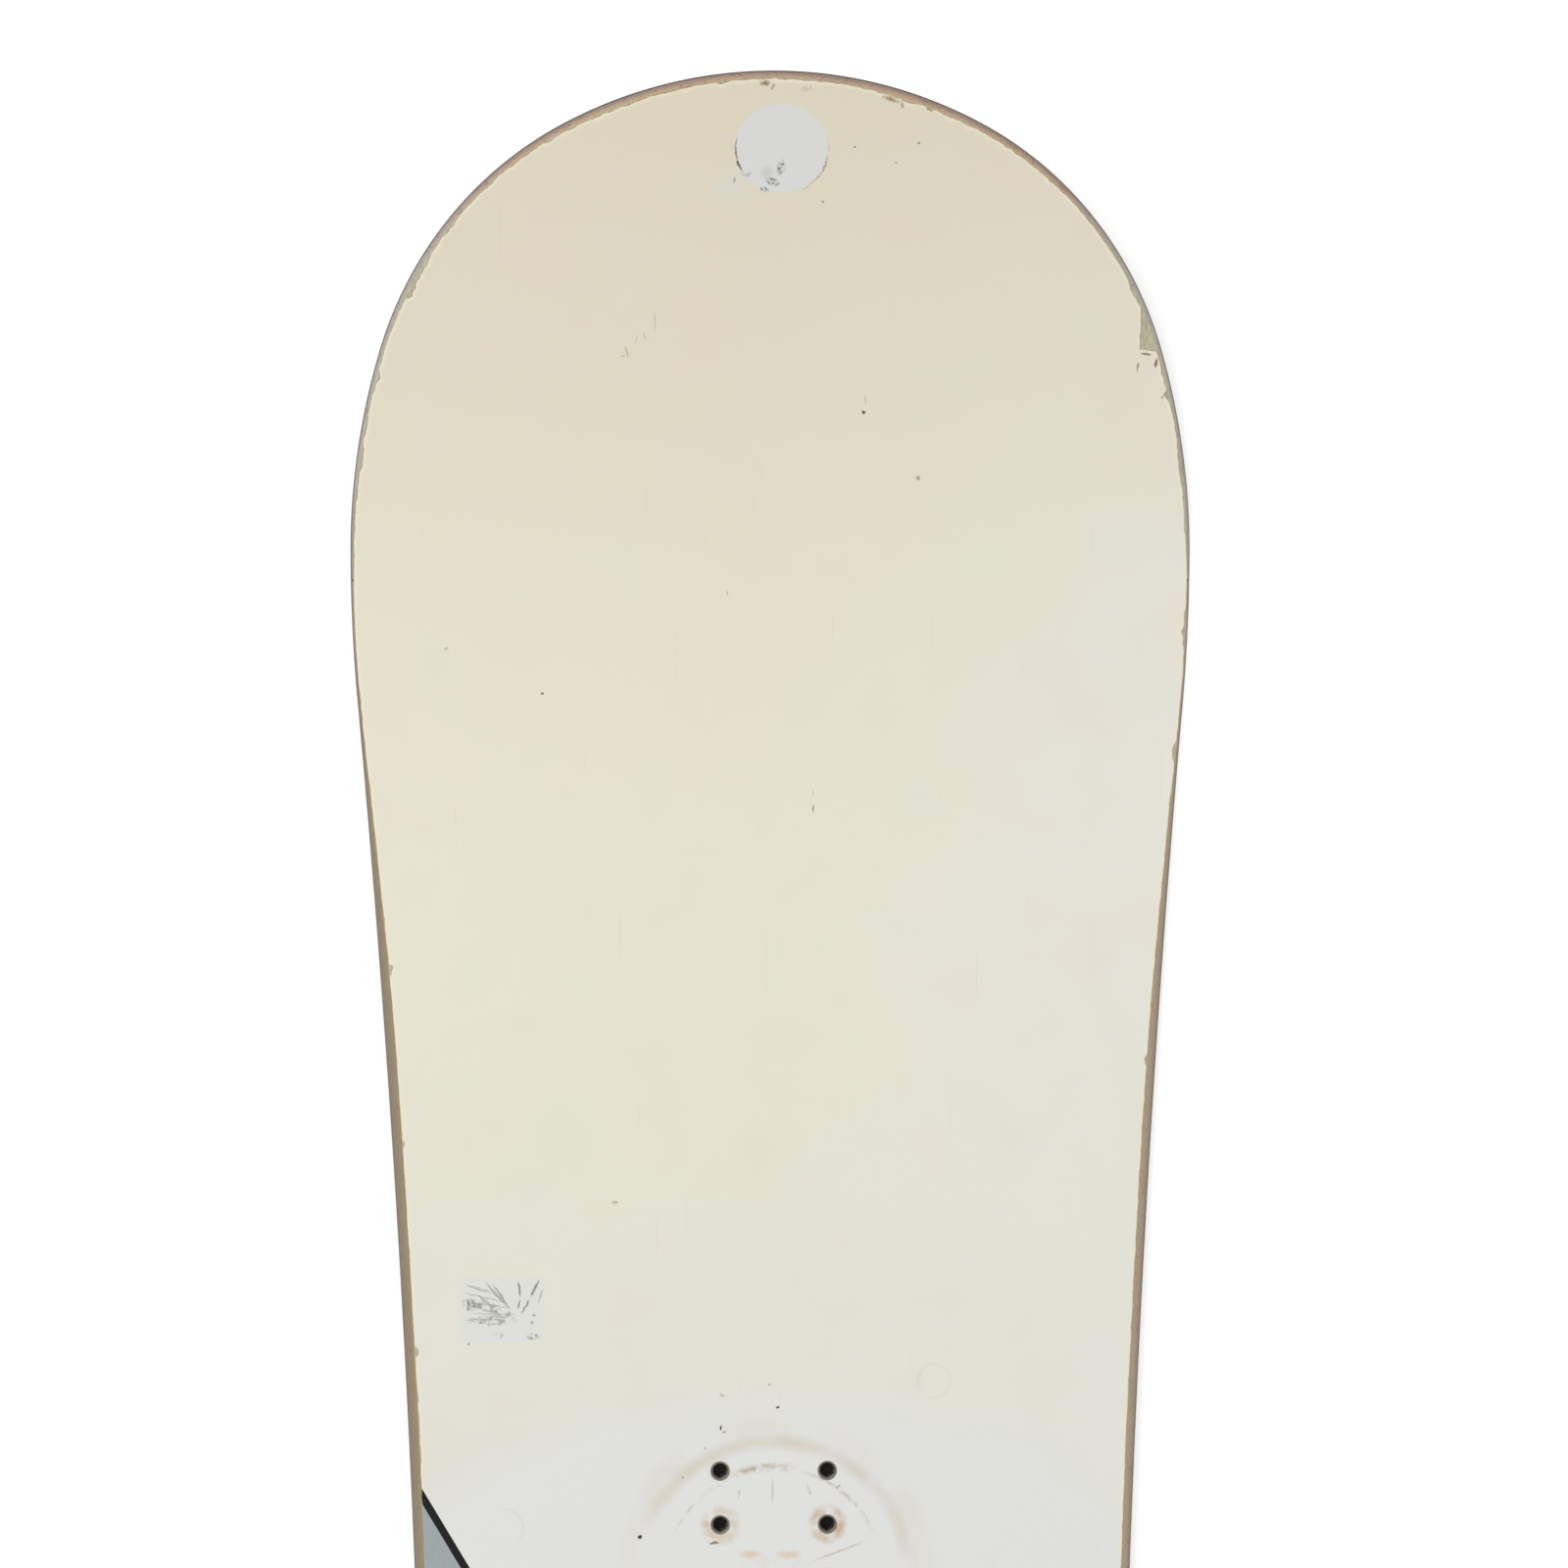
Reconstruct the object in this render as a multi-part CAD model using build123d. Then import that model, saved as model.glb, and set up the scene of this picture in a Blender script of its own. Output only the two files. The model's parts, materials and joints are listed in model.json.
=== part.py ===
from build123d import *
from math import asin, atan2, cos, degrees, hypot, pi, radians, sin, sqrt, tan
import os

# A wide all-mountain snowboard deck, bare, with its binding inserts open. Every bonded layer is its own
# solid. Frame: +X towards the nose, +Y to the left looking at the nose, +Z up, millimetres. The origin is
# under the middle of the length, on the floor that the nose and tail contact lines rest on.

os.makedirs("parts", exist_ok=True)

# Plan shape
nose_length = 175.0  # widest point to tip, seen from above
tail_length = 168.0
effective_edge = 1250.0  # widest point to widest point
end_width = 315.4  # at both widest points
waist_width = 258.6
tip_radius = 172.0  # the end arc, then tighter, then flatter towards the widest point
corner_radius = 136.0
shoulder_radius = 252.0
flank_radius = 606.0  # from the widest point back to the sidecut

# Side shape
contact_inset = 27.0  # contact line to widest point
kick_radius = 450.0  # nose and tail upturn
camber_rise = 7.0

# Layers, from the base up
base_thickness = 1.2
flange_thickness = 0.6  # of the steel edge's anchor
edge_height = 2.0
edge_width = 2.0
edge_reach = 8.0  # outline to the inside of the anchor teeth
core_thickness = 7.3
end_thickness = 2.0  # of core and spacers in the upturns
laminate_thickness = 0.6
topsheet_thickness = 0.5
mat_thickness = 0.4
taper_length = 165.0  # contact line to where the core reaches full thickness

# Sidewall bevel: how far the top is set in from the outline
bevel_angle = 29.0
bevel_land = 0.3  # upright strip above the steel edge
tip_setback = 3.2

# Anchor teeth of the steel edge
tooth_pitch = 20.0
tooth_gap = 12.0
tooth_root = 3.0  # solid strip of flange behind the gaps

# Core
stringer_width = 24.0
stringer_count = 11
sidewall_end = 10.0  # sidewalls stop this far inside the widest points
core_nose_reach = 115.0  # how far the rounded core end passes the sidewall's end

# Inserts: five rows of two at each foot
front_pack_x = 238.5
stance_width = 530.0
row_pitch = 20.0
row_count = 5
column_spacing = 40.0
thread_radius = 2.5  # core of an M6 thread
barrel_radius = 4.5
flange_radius = 9.5
flange_height = 1.2
cap_radius = 3.5
cap_height = 0.9
topsheet_hole_radius = 3.65
insert_lift = 0.15  # glue line between an insert's flange and the lower laminate
insert_drop = 0.15  # barrel top below the topsheet, which leans over it with the camber
mat_length = 120.0
mat_width = 84.0

# Derived places along the board
overall_length = nose_length + effective_edge + tail_length
nose_tip = overall_length / 2
tail_tip = -overall_length / 2
nose_wide = nose_tip - nose_length
tail_wide = tail_tip + tail_length
waist_x = (nose_wide + tail_wide) / 2
nose_contact = nose_wide - contact_inset
tail_contact = tail_wide + contact_inset
contact_mid = (nose_contact + tail_contact) / 2
contact_half = (nose_contact - tail_contact) / 2
camber_radius = (contact_half**2 / camber_rise + camber_rise - 2 * kick_radius) / 2
camber_centre_z = camber_rise - camber_radius
rear_pack_x = front_pack_x - stance_width
core_bottom = edge_height
tip_thickness = core_bottom + end_thickness + laminate_thickness + topsheet_thickness

# Room that the cutting shapes need round the board
half_depth = 220.0  # half of the width that side profiles are extruded to
half_height = 80.0  # plan shapes are extruded this far up and down, past the raised tips
tip_overrun = 6.0  # side profiles run this far past the tips
half_gap = 0.1  # each half of the wrapped edge stops this far from the middle line
gap_overrun = 0.5  # tooth gaps are cut this far past the teeth
cutter_below = 1.2  # bevel cutters start this far down the slope from the top of the land
cutter_above = 4.0  # and end this far up the slope from the core's top
cutter_out = 6.0  # and stand this far outside the outline
bevel_overrun = 8.0  # bevel cutters run this far past the sidewalls' ends
side_sections = 15  # sections of a sidewall's cutter
end_sections = 11  # sections of a spacer's cutter, from one side to the tip


def bevel_inset(thickness):
    """How far the bevel has moved in at this height above the steel edge."""
    return thickness * tan(radians(bevel_angle))


# Side profiles
def kick_point(end, height, angle):
    """Point on one upturn, +1 nose or -1 tail, at a height above the base and an angle from contact."""
    contact = nose_contact if end > 0 else tail_contact
    radius = kick_radius - height
    return Vector(contact + end * radius * sin(angle), 0, kick_radius - radius * cos(angle))


def camber_point(x, height):
    """Point of the cambered middle, at a height above the base."""
    radius = camber_radius + height
    return Vector(x, 0, camber_centre_z + sqrt(radius**2 - (x - contact_mid) ** 2))


def camber_slope_angle():
    """Angle from the vertical of the line that joins the camber's centre to an upturn's centre."""
    return asin(contact_half / (camber_radius + kick_radius))


def upturn_end_angle(end):
    """A little past the tip, so that the outline trims every layer."""
    reach = (nose_tip - nose_contact) if end > 0 else (tail_contact - tail_tip)
    return asin((reach + tip_overrun) / (kick_radius - tip_thickness))


def upturn_arc(end, height, start_angle):
    """Arc of one upturn, from an angle near its contact line out past the tip."""
    stop_angle = upturn_end_angle(end)
    middle = (start_angle + stop_angle) / 2
    angles = (start_angle, middle, stop_angle) if end > 0 else (stop_angle, middle, start_angle)
    return Edge.make_three_point_arc(*(kick_point(end, height, angle) for angle in angles))


def even_curve(height):
    """Edges from tail to nose at one height above the base: upturn, camber, upturn."""
    lean = camber_slope_angle()
    camber = Edge.make_three_point_arc(
        kick_point(-1, height, -lean), camber_point(contact_mid, height), kick_point(1, height, -lean)
    )
    return [upturn_arc(-1, height, -lean), camber, upturn_arc(1, height, -lean)]


def ramp(end, height):
    """Curve of the core's tapering top at one end, and the point where it reaches full thickness."""
    thin = core_bottom + end_thickness + height
    thick = core_bottom + core_thickness + height
    full_x = nose_contact - taper_length if end > 0 else tail_contact + taper_length
    top = camber_point(full_x, thick)
    slope = Vector(top.Z - camber_centre_z, 0, contact_mid - full_x).normalized()
    foot = kick_point(end, thin, 0)
    level = Vector(1, 0, 0)
    if end > 0:
        return Edge.make_spline([top, foot], tangents=[slope, level]), top
    return Edge.make_spline([foot, top], tangents=[level, slope]), top


def deck_curve(height):
    """Edges from tail to nose at a height above the core's top, which is thin in the upturns."""
    thin = core_bottom + end_thickness + height
    thick = core_bottom + core_thickness + height
    tail_ramp, tail_top = ramp(-1, height)
    nose_ramp, nose_top = ramp(1, height)
    camber = Edge.make_three_point_arc(tail_top, camber_point(contact_mid, thick), nose_top)
    return [upturn_arc(-1, thin, 0.0), tail_ramp, camber, nose_ramp, upturn_arc(1, thin, 0.0)]


def slab(lower, upper):
    """Solid between two side curves, wider than the board."""
    start = Edge.make_line(upper[0] @ 0, lower[0] @ 0)
    end = Edge.make_line(lower[-1] @ 1, upper[-1] @ 1)
    face = Face(Wire([*lower, end, *upper, start]))
    return extrude(face, amount=half_depth, dir=(0, 1, 0), both=True)


# Plan outlines
class Outline:
    """The board's plan shape from tangent arcs, for one waist, end width and pair of tips."""

    def __init__(self, waist_half, end_half, nose_x, tail_x):
        self.waist_half = waist_half
        self.end_half = end_half
        self.tips = {1: nose_x, -1: tail_x}
        self.wide = {1: nose_wide, -1: tail_wide}
        reach = nose_wide - waist_x
        rise = end_half - waist_half
        self.sidecut_radius = (reach**2 + rise**2) / (2 * rise) - flank_radius
        self.joins = {end: self.end_joins(end) for end in (1, -1)}

    def end_joins(self, end):
        """Arc centres of one end, and the points where its tip, corner, shoulder, flank and sidecut meet."""
        wide, tip = self.wide[end], self.tips[end]
        shoulder = (wide, self.end_half - shoulder_radius)
        nose = (tip - end * tip_radius, 0.0)
        gap = hypot(nose[0] - shoulder[0], nose[1] - shoulder[1])
        first, second = shoulder_radius - corner_radius, tip_radius - corner_radius
        along = (first**2 - second**2 + gap**2) / (2 * gap)
        across = sqrt(first**2 - along**2)
        ux, uy = (nose[0] - shoulder[0]) / gap, (nose[1] - shoulder[1]) / gap
        corner = (
            shoulder[0] + ux * along + end * uy * across,
            shoulder[1] + uy * along - end * ux * across,
        )
        flank = (wide, self.end_half - flank_radius)
        sidecut = (waist_x, self.waist_half + self.sidecut_radius)
        return {
            "tip_centre": nose,
            "corner_centre": corner,
            "shoulder_centre": shoulder,
            "flank_centre": flank,
            "corner_tip": beyond(nose, corner, tip_radius),
            "shoulder_corner": beyond(shoulder, corner, shoulder_radius),
            "sidecut_flank": beyond(flank, sidecut, flank_radius),
        }

    def half_width(self, x):
        """Half of the width at x."""
        end = 1 if x > waist_x else -1
        j = self.joins[end]
        distance = end * x
        if distance > end * j["corner_tip"][0]:
            return arc_height(j["tip_centre"], tip_radius, x)
        if distance > end * j["shoulder_corner"][0]:
            return arc_height(j["corner_centre"], corner_radius, x)
        if distance > end * self.wide[end]:
            return arc_height(j["shoulder_centre"], shoulder_radius, x)
        if distance > end * j["sidecut_flank"][0]:
            return arc_height(j["flank_centre"], flank_radius, x)
        return self.waist_half + self.sidecut_radius - sqrt(self.sidecut_radius**2 - (x - waist_x) ** 2)

    def arc(self, start, stop, centre, radius, side):
        """Arc between two points of the outline, through the point half way round."""
        a = atan2(start[1] - centre[1], start[0] - centre[0])
        b = atan2(stop[1] - centre[1], stop[0] - centre[0])
        turn = (b - a + pi) % (2 * pi) - pi
        middle = a + turn / 2
        mid = (centre[0] + radius * cos(middle), centre[1] + radius * sin(middle))
        return Edge.make_three_point_arc(
            *(Vector(p[0], side * p[1], 0) for p in (start, mid, stop))
        )

    def side_edges(self, side):
        """Edges from tail tip to nose tip along one side, +1 left or -1 right."""
        edges = []
        for end in (-1, 1):
            j = self.joins[end]
            tip = (self.tips[end], 0.0)
            wide = (self.wide[end], self.end_half)
            run = [
                self.arc(tip, j["corner_tip"], j["tip_centre"], tip_radius, side),
                self.arc(j["corner_tip"], j["shoulder_corner"], j["corner_centre"], corner_radius, side),
                self.arc(j["shoulder_corner"], wide, j["shoulder_centre"], shoulder_radius, side),
                self.arc(wide, j["sidecut_flank"], j["flank_centre"], flank_radius, side),
            ]
            if end < 0:
                edges += run
                edges.append(self.sidecut_edge(side))
            else:
                edges += [edge.reversed() for edge in reversed(run)]
        return edges

    def sidecut_edge(self, side):
        """The long concave arc of one side."""
        start, stop = self.joins[-1]["sidecut_flank"], self.joins[1]["sidecut_flank"]
        return Edge.make_three_point_arc(
            Vector(start[0], side * start[1], 0),
            Vector(waist_x, side * self.waist_half, 0),
            Vector(stop[0], side * stop[1], 0),
        )

    def face(self):
        """The whole plan shape."""
        left = self.side_edges(1)
        right = [edge.reversed() for edge in reversed(self.side_edges(-1))]
        return Face(Wire([*left, *right]))


def beyond(centre, through, radius):
    """Point at radius from centre, in the direction of through."""
    length = hypot(through[0] - centre[0], through[1] - centre[1])
    return (
        centre[0] + (through[0] - centre[0]) / length * radius,
        centre[1] + (through[1] - centre[1]) / length * radius,
    )


def arc_height(centre, radius, x):
    """Upper half of a circle at x."""
    return centre[1] + sqrt(max(radius**2 - (x - centre[0]) ** 2, 0.0))


outline = Outline(waist_width / 2, end_width / 2, nose_tip, tail_tip)
deck_outline = Outline(
    waist_width / 2 - bevel_inset(core_thickness),
    end_width / 2 - bevel_inset(end_thickness),
    nose_tip - tip_setback,
    tail_tip + tip_setback,
)


def prism(face):
    """Plan face carried through every layer."""
    return extrude(face, amount=half_height, both=True)


def inset_face(distance):
    """The outline moved in by a distance."""
    return offset(outline.face(), amount=-distance)


whole = prism(outline.face())
inside_edge = prism(inset_face(edge_width))
inside_teeth = prism(inset_face(edge_reach))
deck_prism = prism(deck_outline.face())


def half_space(side):
    """Box over one side of the board, with a hair's gap at the middle line."""
    middle = side * (half_depth / 2 + half_gap)
    return Pos(0, middle, 0) * Box(2 * overall_length, half_depth, 4 * half_height)


def between(low_x, high_x):
    """Box over a stretch of the length."""
    length = high_x - low_x
    return Pos((low_x + high_x) / 2, 0, 0) * Box(length, 2 * half_depth, 4 * half_height)


# Heights at a place
def base_height(x):
    """Underside of the base at x."""
    lean_reach = kick_radius * sin(camber_slope_angle())
    if x > nose_contact - lean_reach:
        return kick_radius - sqrt(kick_radius**2 - (x - nose_contact) ** 2)
    if x < tail_contact + lean_reach:
        return kick_radius - sqrt(kick_radius**2 - (x - tail_contact) ** 2)
    return camber_point(x, 0).Z


def core_top_height(x):
    """Height of the core's top at x."""
    upright = Edge.make_line((x, 0, -half_height), (x, 0, 2 * half_height))
    return Wire(core_top).intersect(upright)[0].Z


# Inserts
def pack_places(pack_x):
    """Centres of a foot's inserts."""
    rows = [(i - (row_count - 1) / 2) * row_pitch for i in range(row_count)]
    return [(pack_x + row, side * column_spacing / 2) for row in rows for side in (-1, 1)]


insert_height = core_thickness + laminate_thickness - insert_lift - insert_drop


def insert_foot(x):
    """Underside of the insert at x."""
    return camber_point(x, core_bottom).Z + insert_lift


def at_places(shape, pack_x):
    """A copy of a shape at every insert of a foot, standing on the lower laminate."""
    return [Pos(x, y, insert_foot(x)) * shape for x, y in pack_places(pack_x)]


def standing_cylinder(radius, height):
    """Cylinder with its foot at the origin."""
    return Cylinder(radius, height, align=(Align.CENTER, Align.CENTER, Align.MIN))


def insert_envelope():
    """Outside of one insert, without its bore."""
    return standing_cylinder(flange_radius, flange_height) + standing_cylinder(barrel_radius, insert_height)


def insert_cap():
    """Plastic cap that closes the insert's bore against resin."""
    return standing_cylinder(cap_radius, cap_height)


def threaded_insert():
    """Steel insert: wide flange under a barrel with an M6 bore, and a seat for its cap."""
    return insert_envelope() - standing_cylinder(thread_radius, insert_height) - insert_cap()


def pack_holes(radius, pack_x):
    """Upright cylinders at every insert of a foot, through the upper layers."""
    pin = Cylinder(radius, 4 * half_height)
    return [Pos(x, y, 0) * pin for x, y in pack_places(pack_x)]


# Layers
base_curve = even_curve(0.0)
base_top = even_curve(base_thickness)
flange_top = even_curve(base_thickness + flange_thickness)
edge_top = even_curve(edge_height)
core_top = deck_curve(0.0)
laminate_top = deck_curve(laminate_thickness)
deck_top = deck_curve(laminate_thickness + topsheet_thickness)


def base_sheet():
    """Running base between the steel edges."""
    return slab(base_curve, base_top) & inside_edge


def tooth_gaps(side):
    """Boxes that leave teeth in the anchor flange, square to the outline all the way round."""
    path = Wire(outline.side_edges(side))
    count = int(path.length / tooth_pitch)
    depth = edge_reach - tooth_root
    cutters = []
    for i in range(1, count):
        here = path @ (i / count)
        along = path % (i / count)
        inward = Vector(side * along.Y, -side * along.X, 0).normalized()
        centre = here + inward * (tooth_root + depth / 2 + gap_overrun)
        turn = degrees(atan2(along.Y, along.X))
        gap = Box(tooth_gap, depth + 2 * gap_overrun, 4 * half_height)
        cutters.append(Pos(centre.X, centre.Y, 0) * Rot(0, 0, turn) * gap)
    return cutters


def steel_edge(side):
    """One half of the wrapped edge: square bar, with a toothed flange over the base."""
    bar = slab(base_curve, edge_top) & (whole - inside_edge)
    flange = slab(base_top, flange_top) & (inside_edge - inside_teeth)
    return ((bar + flange) & half_space(side)) - tooth_gaps(side)


def edge_rubber(side):
    """Damping foil between the edge's flange and the glass."""
    return slab(flange_top, edge_top) & (inside_edge - inside_teeth) & half_space(side)


def lower_laminate():
    """Glass and resin between the base and the core, inside the anchor teeth."""
    return slab(base_top, edge_top) & inside_teeth


def end_reach(end):
    """Where the sidewalls stop at one end."""
    return (nose_wide - sidewall_end) if end > 0 else (tail_wide + sidewall_end)


def core_plan():
    """The wood core seen from above: straight sides between the sidewalls, and rounded ends."""
    body = inset_face(edge_reach) & Pos((end_reach(1) + end_reach(-1)) / 2, 0) * Rectangle(
        end_reach(1) - end_reach(-1), 2 * half_depth
    )
    for end in (1, -1):
        half = outline.half_width(end_reach(end)) - edge_reach
        body = body + Pos(end_reach(end), 0) * Ellipse(core_nose_reach, half)
    return body


def bevel_section(outer, inner):
    """Cross-section outside the bevel, in the upright plane through an outline point and its deck point."""
    foot = Vector(*outer, base_height(outer[0]) + edge_height + bevel_land)
    head = Vector(*inner, core_top_height(inner[0]))
    fall = (foot - head).normalized()
    out = Vector(outer[0] - inner[0], outer[1] - inner[1], 0)
    below = foot + fall * cutter_below
    above = head - fall * cutter_above
    far_low = below + out.normalized() * (out.length + cutter_out)
    far_high = Vector(far_low.X, far_low.Y, above.Z + cutter_above)
    return Face(Wire.make_polygon([below, above, far_high, far_low], close=True))


def side_bevel(side):
    """Cutter that slopes one sidewall."""
    start, stop = end_reach(-1) - bevel_overrun, end_reach(1) + bevel_overrun
    sections = []
    for i in range(side_sections):
        x = start + (stop - start) * i / (side_sections - 1)
        sections.append(
            bevel_section((x, side * outline.half_width(x)), (x, side * deck_outline.half_width(x)))
        )
    return loft(sections)


def end_points(plan, end):
    """Points of a plan shape from the sidewalls' ends to the tip, close to evenly spaced round the curve."""
    start = end_reach(end) - end * bevel_overrun
    reach = plan.tips[end] - start
    turns = [pi / 2 * i / (end_sections - 1) for i in range(end_sections)]
    xs = [start + reach * sin(turn) for turn in turns]
    return [(x, plan.half_width(x)) for x in xs[:-1]] + [(plan.tips[end], 0.0)]


def end_bevel(end):
    """Cutter that slopes the rim of one spacer, from one side round the tip to the other."""
    pairs = list(zip(end_points(outline, end), end_points(deck_outline, end)))
    mirrored = [((o[0], -o[1]), (i[0], -i[1])) for o, i in reversed(pairs[:-1])]
    return loft([bevel_section(outer, inner) for outer, inner in pairs + mirrored])


core_slab = slab(edge_top, core_top)
core_prism = prism(core_plan())


def sidewall(side):
    """Bevelled strip beside the core, over the steel edge."""
    strip = core_slab & (whole - inside_teeth) & between(end_reach(-1), end_reach(1)) & half_space(side)
    return strip - side_bevel(side)


def end_spacer(end):
    """Moulded filler round the core's rounded end, with the same bevel."""
    beyond_tip = end * overall_length
    stretch = between(*sorted((end_reach(end), beyond_tip)))
    return (core_slab & whole & stretch) - core_prism - end_bevel(end)


def mat(pack_x):
    """Glass mat let into the core's top to spread an insert pack's load."""
    under = deck_curve(-mat_thickness)
    patch = Pos(pack_x, 0, 0) * Box(mat_length, mat_width, 4 * half_height)
    return (slab(under, core_top) & patch) - pack_holes(barrel_radius, pack_x)


def stringers(cut_away):
    """Upright wood strips of the core, numbered from the right side."""
    core = (core_slab & core_prism) - cut_away
    strips = []
    middle = (stringer_count - 1) / 2
    for i in range(stringer_count):
        low = (i - middle - 0.5) * stringer_width
        high = low + stringer_width
        if i == 0:
            low = -half_depth
        if i == stringer_count - 1:
            high = half_depth
        share = Pos(0, (low + high) / 2, 0) * Box(2 * overall_length, high - low, 4 * half_height)
        strips.append(core & share)
    return strips


def upper_laminate():
    """Glass and resin over the core, sidewalls and spacers."""
    sheet = slab(core_top, laminate_top) & deck_prism
    return sheet - pack_holes(barrel_radius, front_pack_x) - pack_holes(barrel_radius, rear_pack_x)


def topsheet():
    """Printed plastic sheet, drilled over every insert."""
    sheet = slab(laminate_top, deck_top) & deck_prism
    holes = pack_holes(topsheet_hole_radius, front_pack_x) + pack_holes(topsheet_hole_radius, rear_pack_x)
    return sheet - holes


def write(name, shape):
    """Writes one node from a shape or a list of shapes, as the compound of their solids."""
    shapes = shape if isinstance(shape, list) else [shape]
    solids = [solid for each in shapes for solid in each.solids()]
    whole_node = solids[0] if len(solids) == 1 else Compound(children=solids)
    export_step(whole_node, f"parts/{name}.step")
    print(name, len(solids), "solids,", round(sum(solid.volume for solid in solids)), "mm3")


def main():
    """Builds and writes every node."""
    write("base_sheet", base_sheet())
    write("lower_laminate", lower_laminate())
    for name, side in (("left", 1), ("right", -1)):
        write(f"steel_edge_{name}", steel_edge(side))
        write(f"edge_rubber_{name}", edge_rubber(side))
        write(f"sidewall_{name}", sidewall(side))
    for name, end in (("nose", 1), ("tail", -1)):
        write(f"{name}_spacer", end_spacer(end))
    pockets = []
    for name, pack_x in (("front", front_pack_x), ("rear", rear_pack_x)):
        pockets += at_places(insert_envelope(), pack_x)
        reinforcement = mat(pack_x)
        pockets.append(reinforcement)
        write(f"{name}_binding_mat", reinforcement)
        write(f"{name}_inserts", at_places(threaded_insert(), pack_x))
        write(f"{name}_insert_caps", at_places(insert_cap(), pack_x))
    for number, strip in enumerate(stringers(pockets), start=1):
        write(f"core_stringer_{number:02d}", strip)
    write("upper_laminate", upper_laminate())
    write("topsheet", topsheet())


if __name__ == "__main__":
    main()
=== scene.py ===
import json
import math
from functools import partial

import bpy
import numpy as np
from mathutils import Matrix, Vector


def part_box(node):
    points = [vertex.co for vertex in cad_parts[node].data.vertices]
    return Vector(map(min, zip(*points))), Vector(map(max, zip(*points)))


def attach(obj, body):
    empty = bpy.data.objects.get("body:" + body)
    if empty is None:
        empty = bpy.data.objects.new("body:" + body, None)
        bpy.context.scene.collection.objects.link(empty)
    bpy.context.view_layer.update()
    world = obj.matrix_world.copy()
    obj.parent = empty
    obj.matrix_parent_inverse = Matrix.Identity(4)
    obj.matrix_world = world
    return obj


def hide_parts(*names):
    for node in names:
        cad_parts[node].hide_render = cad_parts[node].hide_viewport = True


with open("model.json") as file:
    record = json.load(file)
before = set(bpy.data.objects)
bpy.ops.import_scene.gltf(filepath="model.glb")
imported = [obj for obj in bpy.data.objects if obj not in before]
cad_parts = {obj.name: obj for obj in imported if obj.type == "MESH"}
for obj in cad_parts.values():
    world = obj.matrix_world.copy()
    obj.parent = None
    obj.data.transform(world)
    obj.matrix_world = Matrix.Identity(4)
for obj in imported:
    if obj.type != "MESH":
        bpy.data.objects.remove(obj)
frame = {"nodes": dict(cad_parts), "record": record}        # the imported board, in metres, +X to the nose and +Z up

mm = 0.001
noiseSeed = 41
rng = np.random.default_rng(noiseSeed)
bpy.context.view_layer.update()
print("frame loaded:", len(frame["nodes"]), "nodes")

# Everything below is worked out in millimetres, and only the finished meshes are in metres.
edgeLow, edgeHigh = (np.array(corner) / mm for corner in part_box("steel_edge_left"))

# The board's shape: what a user would change to make another board
board = {
    "noseLength": 175.0,       # tip to widest point
    "tailLength": 168.0,
    "waistWidth": 258.6,
    "tipRadius": 172.0,
    "cornerRadius": 136.0,
    "shoulderRadius": 252.0,
    "flankRadius": 606.0,      # from the widest point back to the sidecut
    "contactInset": 27.0,      # contact line to widest point
    "kickRadius": 450.0,
    "camber": 7.0,
    "taper": 165.0,            # contact line to full thickness
    "bevelAngle": 29.0,
    "shoulderWear": 0.5,       # mm rubbed off the rim past the widest points
    "shoulderFade": (-22.0, 25.0),     # from and to this far past them
    "tipWear": 1.3,            # and more at the tips
    "tipFade": 60.0,           # from this far past them
}
layers = {
    "edge": 2.0,
    "base": 1.2,
    "flange": 0.6,
    "core": 7.3,
    "endCore": 2.0,            # core and spacers in the upturns
    "laminate": 0.6,
    "topsheet": 0.5,
}
pack = {
    "centres": [mount["pos_m"][0] / mm for mount in frame["record"]["mounts"] if "middle" in mount["name"]],
    "rows": 5,
    "rowPitch": 20.0,
    "acrossPitch": 40.0,
    "holeRadius": 3.65,        # in the topsheet
    "barrelRadius": 4.5,
    "reach": 100.0,            # inserts this near to a centre belong to it
}

noseTip, tailTip = edgeHigh[0], edgeLow[0]
noseWide, tailWide = noseTip - board["noseLength"], tailTip + board["tailLength"]
noseContact, tailContact = noseWide - board["contactInset"], tailWide + board["contactInset"]
waistX = (noseWide + tailWide) / 2
endHalf, waistHalf = edgeHigh[1], board["waistWidth"] / 2
kick = board["kickRadius"]
contactHalf = (noseContact - tailContact) / 2
camberMid = (noseContact + tailContact) / 2
camberRadius = (contactHalf ** 2 / board["camber"] + board["camber"] - 2 * kick) / 2
camberCentre = board["camber"] - camberRadius
lean = math.asin(contactHalf / (camberRadius + kick))
bevelSlope = math.tan(math.radians(board["bevelAngle"]))


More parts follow.
